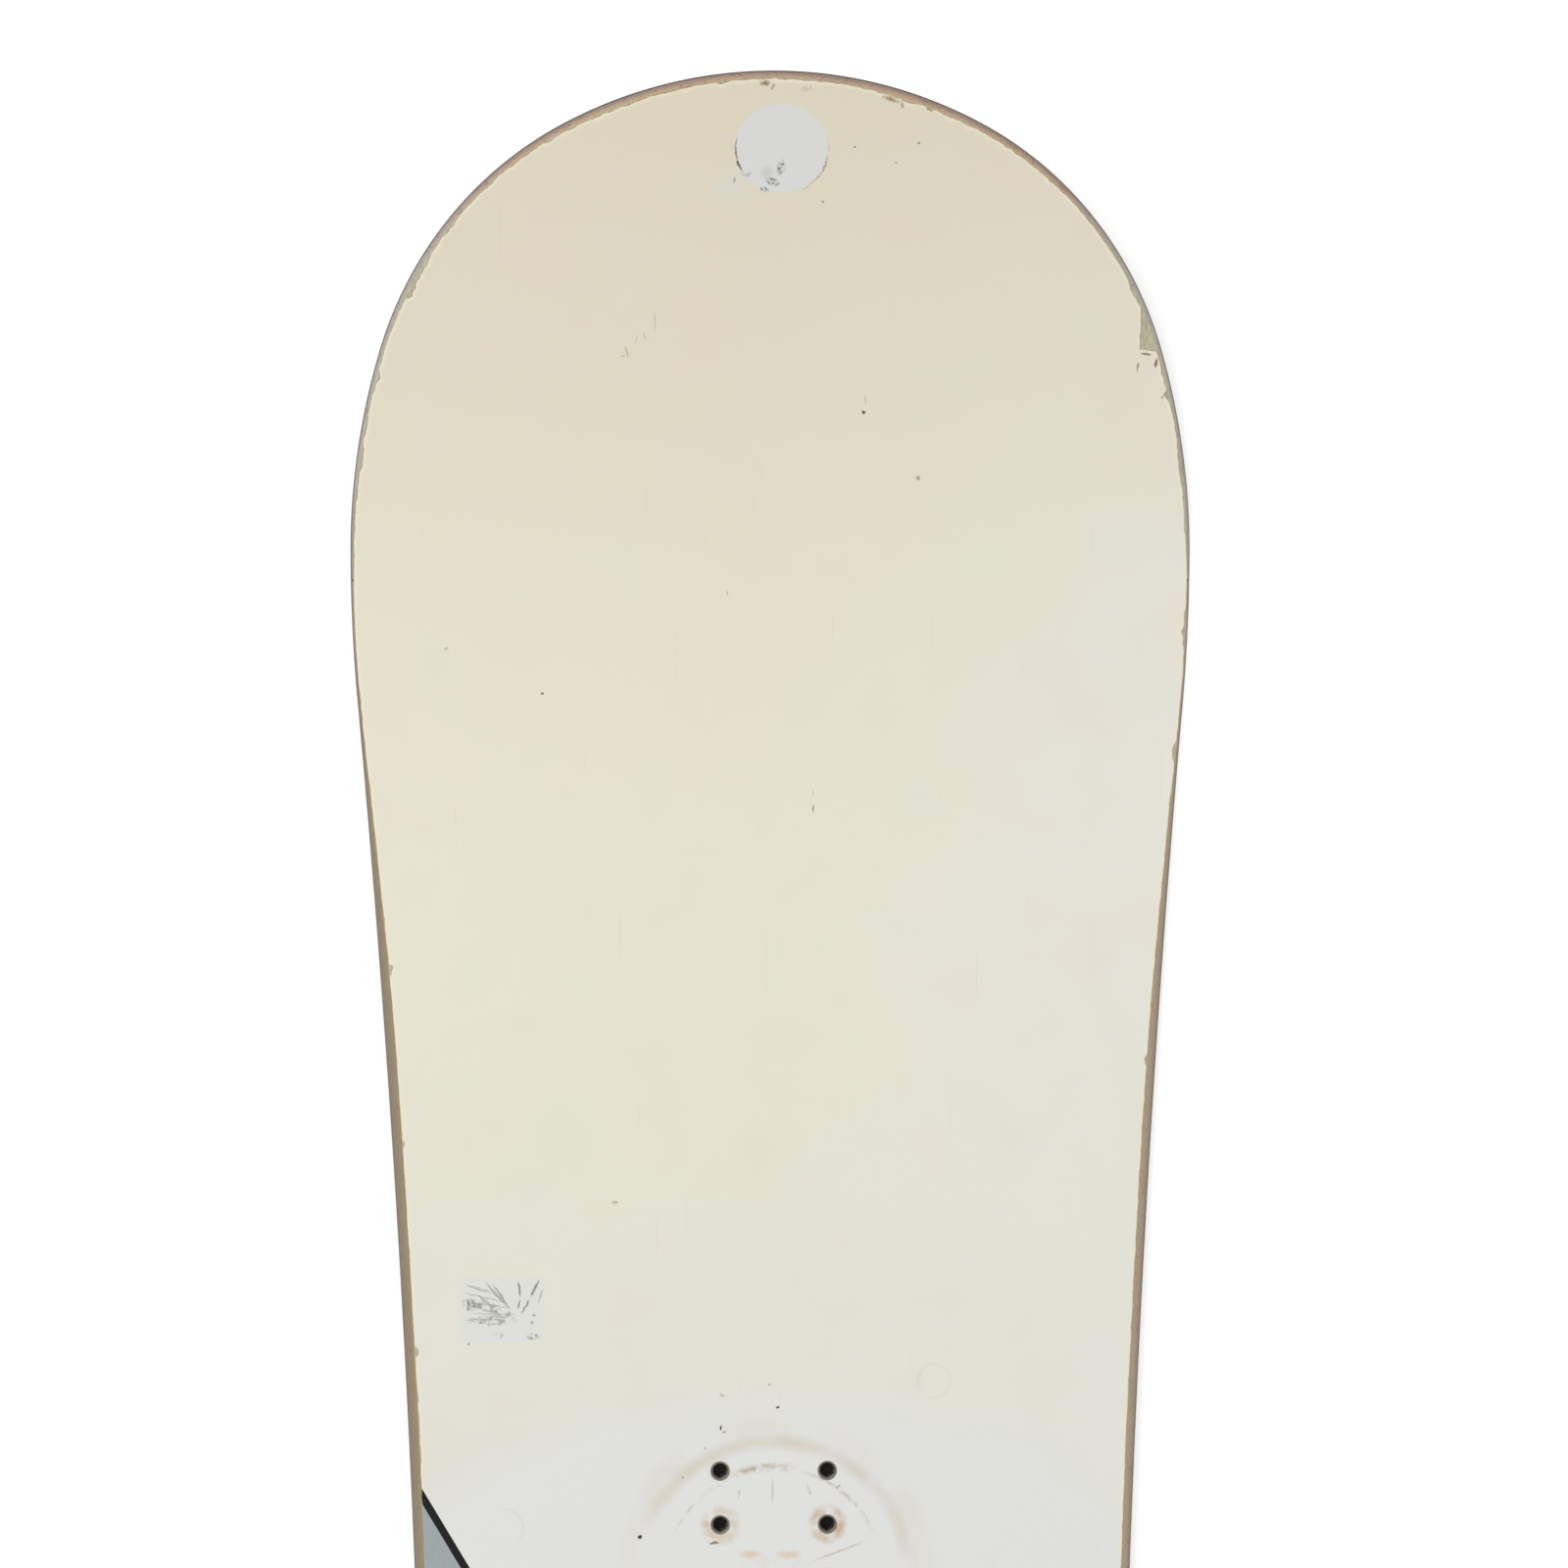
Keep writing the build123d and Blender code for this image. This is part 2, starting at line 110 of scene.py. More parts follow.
# Outline and heights
def outlineArcs(waist, widest, nose, tail):
    # Nine tangent arcs from the tail tip up the left side to the nose tip. Two arcs meet on the line through
    # their centres. The corner's centre is where circles about its neighbours' centres cross.
    reach, rise = noseWide - waistX, widest - waist
    sidecut = (reach ** 2 + rise ** 2) / (2 * rise) - board["flankRadius"]
    sidecutCentre = np.array([waistX, waist + sidecut])
    halves = []
    for end, wide, tip in ((-1, tailWide, tail), (1, noseWide, nose)):
        tipCentre = np.array([tip - end * board["tipRadius"], 0.0])
        shoulderCentre = np.array([wide, widest - board["shoulderRadius"]])
        flankCentre = np.array([wide, widest - board["flankRadius"]])
        gap = tipCentre - shoulderCentre
        apart = np.hypot(*gap)
        first = board["shoulderRadius"] - board["cornerRadius"]
        second = board["tipRadius"] - board["cornerRadius"]
        along = (first ** 2 - second ** 2 + apart ** 2) / (2 * apart)
        across = math.sqrt(first ** 2 - along ** 2)
        way = gap / apart
        cornerCentre = shoulderCentre + way * along + end * np.array([way[1], -way[0]]) * across
        joints = [np.array([tip, 0.0])]
        for near, far, radius in ((tipCentre, cornerCentre, board["tipRadius"]),
                                  (shoulderCentre, cornerCentre, board["shoulderRadius"])):
            joints.append(near + (far - near) / np.hypot(*(far - near)) * radius)
        joints.append(np.array([wide, widest]))
        toSidecut = sidecutCentre - flankCentre
        joints.append(flankCentre + toSidecut / np.hypot(*toSidecut) * board["flankRadius"])
        centres = [tipCentre, cornerCentre, shoulderCentre, flankCentre]
        radii = [board[name] for name in ("tipRadius", "cornerRadius", "shoulderRadius", "flankRadius")]
        halves.append((joints, centres, radii))
    tailHalf, noseHalf = halves
    joints = np.array(tailHalf[0] + noseHalf[0][::-1])
    centres = np.array(tailHalf[1] + [sidecutCentre] + noseHalf[1][::-1])
    radii = np.array(tailHalf[2] + [sidecut] + noseHalf[2][::-1])
    starts = np.arctan2(*(joints[:-1] - centres).T[::-1])
    turns = (np.arctan2(*(joints[1:] - centres).T[::-1]) - starts + np.pi) % (2 * np.pi) - np.pi
    return {"centres": centres, "radii": radii, "starts": starts, "turns": turns}


def outlinePoints(arcs, u):
    # Point and outward normal at u, whose whole part is the arc's number and whose fraction is the share of
    # it: centre + radius * (cos a, sin a). The sidecut is the one hollow arc, with its normal inward.
    number = np.clip(np.floor(u).astype(int), 0, len(arcs["radii"]) - 1)
    angle = arcs["starts"][number] + (u - number) * arcs["turns"][number]
    ray = np.stack([np.cos(angle), np.sin(angle)], axis=-1)
    points = arcs["centres"][number] + arcs["radii"][number][:, None] * ray
    hollow = number == len(arcs["radii"]) // 2
    return points, np.where(hollow[:, None], -ray, ray)


def evenShares(arcs, count):
    # count values of u at even steps of arc length, and those lengths
    cumulative = np.concatenate([[0.0], np.cumsum(arcs["radii"] * np.abs(arcs["turns"]))])
    along = np.linspace(0.0, cumulative[-1], count)
    return np.interp(along, cumulative, np.arange(len(cumulative))), along


def evenHeight(x, up):
    # Height of a layer that runs at one height above the base: upturn circle, camber circle, upturn circle
    reach = kick * math.sin(lean)
    nose = kick - np.sqrt(np.maximum((kick - up) ** 2 - (x - noseContact) ** 2, 0.0))
    tail = kick - np.sqrt(np.maximum((kick - up) ** 2 - (x - tailContact) ** 2, 0.0))
    middle = camberCentre + np.sqrt((camberRadius + up) ** 2 - (x - camberMid) ** 2)
    return np.where(x > noseContact - reach, nose, np.where(x < tailContact + reach, tail, middle))


def deckHeight(x, up):
    # Height above the core's top: thin in the upturns, thick in the middle, and a cubic between them that
    # leaves both with their own slope
    thin = layers["edge"] + layers["endCore"] + up
    thick = layers["edge"] + layers["core"] + up
    height = camberCentre + np.sqrt((camberRadius + thick) ** 2 - (x - camberMid) ** 2)
    for end, contact in ((1, noseContact), (-1, tailContact)):
        full = contact - end * board["taper"]
        upturn = kick - np.sqrt(np.maximum((kick - thin) ** 2 - (x - contact) ** 2, 0.0))
        top = camberCentre + math.sqrt((camberRadius + thick) ** 2 - (full - camberMid) ** 2)
        slope = (camberMid - full) / (top - camberCentre)
        t = np.clip((x - full) / (contact - full), 0.0, 1.0)
        ramp = ((2 * t ** 3 - 3 * t ** 2 + 1) * top + (t ** 3 - 2 * t ** 2 + t) * slope * (contact - full)
                + (3 * t ** 2 - 2 * t ** 3) * thin)
        height = np.where(end * (x - contact) > 0, upturn, np.where(end * (x - full) > 0, ramp, height))
    return height


outlineShape = outlineArcs(waistHalf, endHalf, noseTip, tailTip)


def eased(x, start, end):
    # Smooth step from 0 at start to 1 at end: 3 t^2 - 2 t^3
    t = np.clip((x - start) / (end - start), 0.0, 1.0)
    return t * t * (3 - 2 * t)


def deckInset(x):
    # How far the deck's rim lies inside the outline: the bevel's run over the thickness there, and wear
    thickness = deckHeight(x, 0.0) - evenHeight(x, layers["edge"])
    wear = 0.0
    for wide, tip in ((noseWide, noseTip), (tailWide, tailTip)):
        end = np.sign(tip)
        start, full = (wide + end * past for past in board["shoulderFade"])
        wear = wear + board["shoulderWear"] * eased(x, start, full)
        wear = wear + board["tipWear"] * eased(x, wide + end * board["tipFade"], tip)
    return bevelSlope * thickness + wear


# Meshes
creaseAngle = 35.0             # degrees above which an edge is sharp
spineInset = 45.0              # mm from the tips to the ends of the line that sheets converge on
drill = {"sides": 40, "from": -10.0, "to": 40.0}


def makePiece(name, vertices, faces):
    # Mesh from vertices in millimetres and lists of corners, smooth with sharp creases
    mesh = bpy.data.meshes.new(name)
    mesh.from_pydata((vertices * mm).tolist(), [], faces)
    mesh.validate()
    mesh.polygons.foreach_set("use_smooth", np.ones(len(mesh.polygons), bool))
    mesh.set_sharp_from_angle(angle=math.radians(creaseAngle))
    piece = bpy.data.objects.new(name, mesh)
    bpy.context.scene.collection.objects.link(piece)
    return piece


def gridQuads(index):
    # Faces between neighbouring rows and columns of a grid of vertex numbers
    quads = np.stack([index[:-1, :-1], index[1:, :-1], index[1:, 1:], index[:-1, 1:]], axis=-1)
    return quads.reshape(-1, 4)


def addValues(piece, name, values):
    # One number per vertex, for the materials to read
    attribute = piece.data.attributes.new(name, "FLOAT", "POINT")
    attribute.data.foreach_set("value", np.asarray(values, np.float32).ravel())


def loopNoise(along, total, grain):
    # Smooth noise from 0 to 1 on a closed loop: random values every grain millimetres, eased between
    count = max(int(total / grain), 4)
    values = rng.random(count)
    where = along / total * count
    low = np.floor(where).astype(int)
    ease = (where - low) ** 2 * (3 - 2 * (where - low))
    return values[low % count] * (1 - ease) + values[(low + 1) % count] * ease


def sheetPlan(edgeLeft, edgeRight, edgeSteps, innerRings):
    # Plan grid from the right edge over the middle line to the left edge. Near the edge the rings lie at the
    # given distances inside it, and further in at even shares of what is left.
    nose, tail = noseTip - spineInset, tailTip + spineInset
    spineX = (nose + tail) / 2 + (nose - tail) / 2 * np.linspace(-1.0, 1.0, len(edgeLeft))
    spine = np.stack([spineX, np.zeros_like(spineX)], axis=-1)
    sides = []
    for edge in (edgeLeft, edgeRight):
        inward = spine - edge
        reach = np.linalg.norm(inward, axis=-1, keepdims=True)
        rings = [edge + inward * (step / reach) for step in edgeSteps]
        last = edgeSteps[-1] / reach
        for share in np.linspace(0.0, 1.0, innerRings + 1)[1:]:
            rings.append(edge + inward * (last + (1 - last) * share))
        sides.append(np.array(rings))
    left, right = sides
    return np.concatenate([right[:-1], left[::-1]])


def closedSheet(name, plan, topHeight, bottomHeight, rounding):
    # Sheet between two height functions over a plan grid. The first and last columns fold onto themselves
    # at the tips, so there each vertex left of the middle line is the one right of it.
    rows, columns = plan.shape[:2]
    count = rows * columns
    index = np.arange(count).reshape(rows, columns)
    mirrored = index[::-1]
    for column in (0, columns - 1):
        index[rows // 2 + 1:, column] = mirrored[rows // 2 + 1:, column]
    x, y = plan[..., 0], plan[..., 1]
    drop = np.zeros((rows, 1))
    for ring, amount in enumerate(rounding):
        drop[ring] = drop[rows - 1 - ring] = amount
    top = np.stack([x, y, topHeight(x) - drop], axis=-1).reshape(-1, 3)
    bottom = np.stack([x, y, bottomHeight(x)], axis=-1).reshape(-1, 3)
    quads = [gridQuads(index)[:, ::-1], gridQuads(index) + count]
    for rim, way in ((index[0], -1), (index[-1], 1)):
        wall = np.stack([rim[:-1], rim[1:], rim[1:] + count, rim[:-1] + count], axis=-1)
        quads.append(wall[:, ::way])
    return makePiece(name, np.concatenate([top, bottom]), np.concatenate(quads).tolist())


def sweptRing(name, rows):
    # Closed section carried along a path, with end caps: rows is sections x section points x 3
    index = np.arange(rows[..., 0].size).reshape(rows.shape[:2])
    around = np.concatenate([index, index[:, :1]], axis=1)
    faces = gridQuads(around).tolist() + [index[0].tolist(), index[-1][::-1].tolist()]
    return makePiece(name, rows.reshape(-1, 3), faces)


def cutHoles(piece, radius):
    # Drills every insert's place through the piece with upright cylinders
    angle = np.linspace(0.0, 2 * np.pi, drill["sides"], endpoint=False)
    circle = np.stack([np.cos(angle), np.sin(angle)], axis=-1) * radius
    vertices, faces = [], []
    for number, centre in enumerate(packPlaces()):
        for height in (drill["from"], drill["to"]):
            vertices.append(np.column_stack([circle + centre, np.full(len(angle), height)]))
        low = 2 * number * len(angle) + np.arange(len(angle))
        high = low + len(angle)
        sides = np.stack([low, np.roll(low, -1), np.roll(high, -1), high], axis=-1)
        faces += sides.tolist() + [low[::-1].tolist(), high.tolist()]
    mesh = bpy.data.meshes.new("drill")
    mesh.from_pydata((np.concatenate(vertices) * mm).tolist(), [], faces)
    cutter = bpy.data.objects.new("drill", mesh)
    bpy.context.scene.collection.objects.link(cutter)
    cut = piece.modifiers.new("holes", "BOOLEAN")
    cut.operation, cut.object, cut.solver = "DIFFERENCE", cutter, "MANIFOLD"
    bpy.context.view_layer.update()
    evaluated = piece.evaluated_get(bpy.context.evaluated_depsgraph_get())
    drilled = bpy.data.meshes.new_from_object(evaluated)
    piece.modifiers.clear()
    old = piece.data
    piece.data = drilled
    drilled.name = old.name
    bpy.data.meshes.remove(old)
    bpy.data.objects.remove(cutter)
    print(piece.name, "drilled:", len(drilled.polygons), "faces")


def packPlaces():
    # Centres of all inserts: rows along the board, two across, at both feet
    rows = (np.arange(pack["rows"]) - (pack["rows"] - 1) / 2) * pack["rowPitch"]
    return [(centre + row, side * pack["acrossPitch"] / 2)
            for centre in pack["centres"] for row in rows for side in (-1, 1)]


# The pieces
sidePoints = 2301              # along each side of the outline
shares, along = evenShares(outlineShape, sidePoints)
outlineXY, outlineNormal = outlinePoints(outlineShape, shares)
deckXY = outlineXY - outlineNormal * deckInset(outlineXY[:, 0])[:, None]
sideLength = along[-1]
mirror = np.array([1.0, -1.0])

topsheetEdge = {
    "ragged": 0.35,            # mm of fine roughness all round
    "patches": 0.5,            # mm more where the rim is worn
    "endPatches": 0.8,         # and at the shoulders and tips
    "ends": (600.0, 640.0),    # which start this far from the middle
    "grains": (3.2, 1.1),      # mm between the bumps of the roughness
    "patchGrains": (38.0, 5.0),
    "flatness": 2.2,           # of a chip's floor
    "tipEase": 2.0,            # mm from the tips in which the two sides meet
    "chips": [                 # place along the board, side (+1 left), length, depth
        (792.4, 1, 3.0, 0.5), (787.4, -1, 1.5, 0.4), (786.2, -1, 3.4, 0.7), (783.6, -1, 1.4, 0.6),
        (772.0, 1, 2.0, 0.6), (741.0, 1, 5.0, 0.7), (726.0, 1, 7.0, 1.1), (718.5, 1, 3.5, 1.5),
        (685.0, 1, 5.0, 0.8), (668.0, 1, 4.0, 0.4), (657.0, 1, 5.0, 1.1), (465.6, 1, 2.4, 1.5),
        (401.0, 1, 1.5, 0.7), (323.4, 1, 2.0, 1.4), (719.0, -1, 3.0, 0.5), (680.3, -1, 2.2, 1.2),
        (687.0, -1, 3.5, 0.4), (593.0, -1, 9.0, 0.9), (547.2, -1, 4.2, 1.1), (431.0, -1, 2.0, 0.6),
        (-540.0, 1, 4.0, 1.3), (-702.0, -1, 6.0, 1.4), (-778.0, 1, 4.0, 1.8), (-330.0, -1, 2.5, 1.1),
        (-120.0, 1, 2.0, 0.9),
    ],
    "tear": {"from": 696.6, "to": 714.5, "inside": 137.3, "side": -1, "ragged": 0.5},   # at the shoulder
}


def topsheetRim(side):
    # The deck outline, drawn in by fine noise, worn patches and chips. A chip is a flat-topped wave of
    # its length and depth with a jagged floor. The tear is cut straight, parallel to the board.
    number = 0 if side > 0 else 1
    fine = raggedFine[number]
    ends = eased(np.abs(deckXY[:, 0]), *topsheetEdge["ends"])
    worn = topsheetEdge["patches"] * (1 - ends) + topsheetEdge["endPatches"] * ends
    depth = fine * topsheetEdge["ragged"] * (1 + ends) + wornPatches[number] * worn
    for x, chipSide, length, deep in topsheetEdge["chips"]:
        if chipSide == side:
            centre = along[np.argmin(np.abs(deckXY[:, 0] - x))]
            swell = np.clip(1 - np.abs(along - centre) / length, 0, 1)
            depth = depth + deep * np.clip(topsheetEdge["flatness"] * swell, 0, 1) * (0.5 + fine)
    ease = np.clip(np.minimum(along, sideLength - along) / topsheetEdge["tipEase"], 0, 1)
    rim = deckXY - outlineNormal * (depth * ease)[:, None]
    tear = topsheetEdge["tear"]
    if tear["side"] == side:
        torn = (rim[:, 0] > tear["from"]) & (rim[:, 0] < tear["to"])
        limit = tear["inside"] + tear["ragged"] * fine
        rim[:, 1] = np.where(torn, np.minimum(rim[:, 1], limit), rim[:, 1])
    return rim * (mirror if side < 0 else 1.0)


loopLength = 2 * sideLength
loops = np.stack([along, loopLength - along])
# Roughness is two sizes of noise. Worn patches lie where coarse noise is above a half, broken up by finer.
coarse, fine = (loopNoise(loops, loopLength, grain) for grain in topsheetEdge["grains"])
raggedFine = 0.6 * coarse + 0.4 * fine
where, spots = (loopNoise(loops, loopLength, grain) for grain in topsheetEdge["patchGrains"])
wornPatches = np.clip(where * 1.8 - 0.9, 0, 1) * spots

edgeSteps = [0.0, 0.14, 0.45, 1.1, 2.6, 6.0, 14.0]
rimNear = 4.0                  # mm over which the rim's painted highlight and dirt fade


def edgeNear(plan):
    # 1 at the sheet's edge, falling evenly to 0 at rimNear inside it
    rows = plan.shape[0]
    near = np.zeros(plan.shape[:2])
    for ring, step in enumerate(edgeSteps):
        near[ring] = near[rows - 1 - ring] = max(1 - step / rimNear, 0.0)
    return near


plan = sheetPlan(topsheetRim(1), topsheetRim(-1), edgeSteps, 4)
topsheet = closedSheet(
    "topsheet_skin", plan,
    lambda x: deckHeight(x, layers["laminate"] + layers["topsheet"]),
    lambda x: deckHeight(x, layers["laminate"]),
    rounding=[0.16, 0.04],
)
near = edgeNear(plan).ravel()
addValues(topsheet, "edgeNear", np.concatenate([near, near]))
cutHoles(topsheet, pack["holeRadius"])

laminatePlan = sheetPlan(deckXY[::2], deckXY[::2] * mirror, [0.0, 0.2, 1.0, 5.0, 15.0], 3)
laminate = closedSheet(
    "upper_laminate_skin", laminatePlan,
    lambda x: deckHeight(x, layers["laminate"]),
    lambda x: deckHeight(x, 0.0),
    rounding=[0.08],
)
cutHoles(laminate, pack["barrelRadius"])

baseGap = 0.02                 # between the base and the steel
baseEdge = outlineXY - outlineNormal * (layers["edge"] + baseGap)
basePlan = sheetPlan(baseEdge[::2], baseEdge[::2] * mirror, [0.0, 0.3, 1.5, 5.0, 15.0], 4)
baseSkin = closedSheet(
    "running_base", basePlan,
    lambda x: evenHeight(x, layers["base"]),
    lambda x: evenHeight(x, 0.0),
    rounding=[0.0],
)
print("sheets made")

sidewallLook = {
    "ledge": 0.45,             # steel showing outside the sidewall's foot
    "land": 0.3,               # upright strip above the steel
    "bevelSteps": 6,
    "topSteps": 8,
    "milling": 0.05,           # mm of waviness left by the cutter
    "knocks": 0.35,            # deepest knocks
    "end": 10.0,               # sidewalls stop this far inside the widest points
    "width": 8.0,
    "coreReach": 115.0,        # rounded core end past the sidewall's end
    "seeds": {"left": 4, "right": 2, "nose": 9, "tail": 7},    # of the cutter's waves and knocks
}


def wallSections(outer, normal, deck, inner, seed):
    # Section through the wall: foot, land, bevel from outline to deck outline, top, inner face. The bevel
    # is pushed in by cutter waves and by knocks, which fade out at its top and foot.
    local = np.random.default_rng(seed)
    count = len(outer)
    foot = outer - normal * sidewallLook["ledge"]
    low = evenHeight(outer[:, 0], layers["edge"])
    landTop = low + sidewallLook["land"]
    deckTop = deckHeight(deck[:, 0], 0.0)
    share = np.linspace(0.0, 1.0, sidewallLook["bevelSteps"] + 1)[:, None]
    steps = np.arange(count)
    waves = sidewallLook["milling"] * np.sin(steps * 0.9 + local.random() * 6)
    knocks = np.zeros(count)
    for centre in local.integers(0, count, max(count // 60, 3)):
        size = local.uniform(1.5, 5.0)
        knocks += local.uniform(0.2, 1.0) * np.exp(-((steps - centre) / size) ** 2)
    push = (waves + np.clip(knocks, 0, 1) * sidewallLook["knocks"])[None] * np.sin(share * np.pi) ** 0.7
    bevelXY = foot[None] * (1 - share[..., None]) + deck[None] * share[..., None]
    bevelXY = bevelXY - normal[None] * push[..., None]
    bevelZ = landTop[None] * (1 - share) + deckTop[None] * share
    inward = np.linspace(0.0, 1.0, sidewallLook["topSteps"] + 1)[:, None, None]
    topXY = deck[None] * (1 - inward[1:]) + inner[None] * inward[1:]
    underXY = inner[None] * (1 - inward[:-1]) + foot[None] * inward[:-1]
    plans = np.concatenate([foot[None], bevelXY, topXY, underXY])
    heights = np.concatenate([
        low[None], bevelZ, deckHeight(topXY[..., 0], 0.0), evenHeight(underXY[..., 0], layers["edge"])])
    acrossShare = np.concatenate([[0.0], share.ravel(), np.ones(len(topXY)), 1 - inward[:-1, 0, 0]])
    rows = np.concatenate([plans, heights[..., None]], axis=-1).transpose(1, 0, 2)
    return rows, np.broadcast_to(acrossShare, rows.shape[:2])


def makeWall(name, pick, side, inner, seed, turned):
    # One sidewall or spacer along the outline points that pick marks, mirrored where side is -1
    signs = np.stack([np.ones(len(side)), side], axis=-1)
    rows, acrossShare = wallSections(
        outlineXY[pick] * signs, outlineNormal[pick] * signs, deckXY[pick] * signs, inner * signs, seed)
    if turned:
        rows, acrossShare = rows[::-1], acrossShare[::-1]
    piece = sweptRing(name, rows)
    addValues(piece, "acrossWall", acrossShare)
    return piece


numbers = np.arange(len(outlineXY))
noseEnd, tailEnd = noseWide - sidewallLook["end"], tailWide + sidewallLook["end"]
alongSide = numbers[(outlineXY[:, 0] >= tailEnd) & (outlineXY[:, 0] <= noseEnd)]
walls = {}
for name, side in (("left", 1), ("right", -1)):
    inner = outlineXY[alongSide] - outlineNormal[alongSide] * sidewallLook["width"]
    walls[f"sidewall_{name}"] = makeWall(
        f"sidewall_{name}_strip", alongSide, np.full(len(alongSide), side), inner,
        sidewallLook["seeds"][name], side < 0)

for name, end, limit in (("nose", 1, noseEnd), ("tail", -1, tailEnd)):
    half = numbers[end * (outlineXY[:, 0] - limit) >= 0]
    order = half if end > 0 else half[::-1]
    pick = np.concatenate([order, order[-2::-1]])
    side = np.concatenate([np.full(len(order), 1), np.full(len(order) - 1, -1)])
    out = outlineXY[pick] - [limit, 0.0]
    halfWidth = outlineXY[order[0], 1] - sidewallLook["width"]
    scale = 1 / np.sqrt((out[:, 0] / sidewallLook["coreReach"]) ** 2 + (out[:, 1] / halfWidth) ** 2)
    inner = out * scale[:, None] + [limit, 0.0]
    walls[f"{name}_spacer"] = makeWall(
        f"{name}_spacer_rim", pick, side, inner, sidewallLook["seeds"][name], end < 0)
print("sidewalls and spacers made")

steel = {
    "bar": 2.0,
    "corner": 0.1,             # broken corner
    "toothPitch": 20.0,
    "toothGap": 12.0,
    "root": 3.0,
    "reach": 8.0,
    "gap": 0.03,               # each half stops this far from the middle line
}


def steelSections(side):
    # L section along the outline: square bar and a thin flange that reaches in at the teeth and stops
    # short between them
    xy, normal = outlineXY, outlineNormal
    phase = along % steel["toothPitch"]
    gapHere = np.abs(phase - steel["toothPitch"] / 2) < steel["toothGap"] / 2
    tooth = np.where(gapHere, steel["root"], steel["reach"])
    bar, corner, base = steel["bar"], steel["corner"], layers["base"]
    flat = np.ones(len(xy))
    section = [
        (flat * 0.0, corner), (flat * 0.0, bar - corner), (flat * corner, bar), (flat * bar, bar),
        (flat * bar, base + layers["flange"]), (tooth, base + layers["flange"]), (tooth, base),
        (flat * bar, base), (flat * bar, 0.0), (flat * corner, 0.0),
    ]
    rows = []
    for inset, up in section:
        place = xy - normal * inset[:, None]
        rows.append(np.column_stack([place, evenHeight(place[:, 0], up)]))
    rows = np.array(rows).transpose(1, 0, 2)
    rows[..., 1] = np.maximum(rows[..., 1], steel["gap"]) * side
    return rows if side > 0 else rows[::-1]


edges = {name: sweptRing(f"steel_edge_{name}_bar", steelSections(side))
         for name, side in (("left", 1), ("right", -1))}
print("steel edges made")

insert = {
    "height": 7.6,
    "lift": 0.15,
    "flangeRadius": 9.5,
    "flangeHeight": 1.2,
    "seatRadius": 3.5,
    "seatHeight": 0.9,
    "threadRadius": 2.5,       # crest of the M6 thread
    "threadDepth": 0.45,
    "threadPitch": 1.0,
    "mouth": 0.5,              # countersink
    "barrelCorner": 0.2,
    "mouthCorner": 0.06,
    "around": 36,              # points round each insert
    "perTurn": 6,              # and up each turn of the thread
}


def insertMesh(name, centre):
    # Ten threaded inserts. Each is a closed profile turned about its axis, and in the bore the radius
    # follows the thread: crest + depth * |saw(z / pitch - angle / full turn)|.
    around = insert["around"]
    angle = np.linspace(0.0, 2 * np.pi, around, endpoint=False)
    top, barrel, corner = insert["height"], pack["barrelRadius"], insert["barrelCorner"]
    seat, crest = insert["seatHeight"], insert["threadRadius"]
    mouth, bend = crest + insert["mouth"], insert["mouthCorner"]
    bore = np.arange(top - insert["mouth"], seat, -insert["threadPitch"] / insert["perTurn"])
    head = [
        (insert["seatRadius"], 0.0), (insert["flangeRadius"], 0.0),
        (insert["flangeRadius"], insert["flangeHeight"]), (barrel, insert["flangeHeight"]),
        (barrel, top - corner), (barrel - corner, top), (mouth + bend, top), (mouth, top - bend),
    ]
    thread = [(crest, z) for z in bore]
    radius, height = np.array(head + thread + [(crest, seat), (insert["seatRadius"], seat)]).T
    threaded = np.zeros(len(radius))
    threaded[len(head):len(head) + len(thread)] = 1.0
    saw = np.abs((height[:, None] / insert["threadPitch"] - angle[None] / (2 * np.pi)) % 1 * 2 - 1)
    radii = radius[:, None] + threaded[:, None] * insert["threadDepth"] * saw
    shape = np.stack([radii * np.cos(angle), radii * np.sin(angle),
                      np.broadcast_to(height[:, None], radii.shape)], axis=-1)
    index = np.arange(shape.shape[0] * around).reshape(-1, around)
    index = np.concatenate([index, index[:, :1]], axis=1)
    index = np.concatenate([index, index[:1]])
    quads = gridQuads(index)[:, ::-1]
    places = [place for place in packPlaces() if abs(place[0] - centre) < pack["reach"]]
    vertices, faces = [], []
    for number, (x, y) in enumerate(places):
        foot = evenHeight(np.array([x]), layers["edge"])[0] + insert["lift"]
        vertices.append(shape.reshape(-1, 3) + (x, y, foot))
        faces.append(quads + number * shape.shape[0] * around)
    return makePiece(name, np.concatenate(vertices), np.concatenate(faces).tolist())


front, rear = sorted(pack["centres"], reverse=True)
insertPieces = {name: insertMesh(f"{name}_insert_barrels", centre)
                for name, centre in (("front", front), ("rear", rear))}
print("inserts made")


# Materials
def linear(hexColour):
    # sRGB hex to linear light: c / 12.92 in the toe, else ((c + 0.055) / 1.055) ^ 2.4
    channels = np.array([int(hexColour[i:i + 2], 16) for i in (1, 3, 5)]) / 255
    lit = np.where(channels <= 0.04045, channels / 12.92, ((channels + 0.055) / 1.055) ** 2.4)
    return (*(float(value) for value in lit), 1.0)


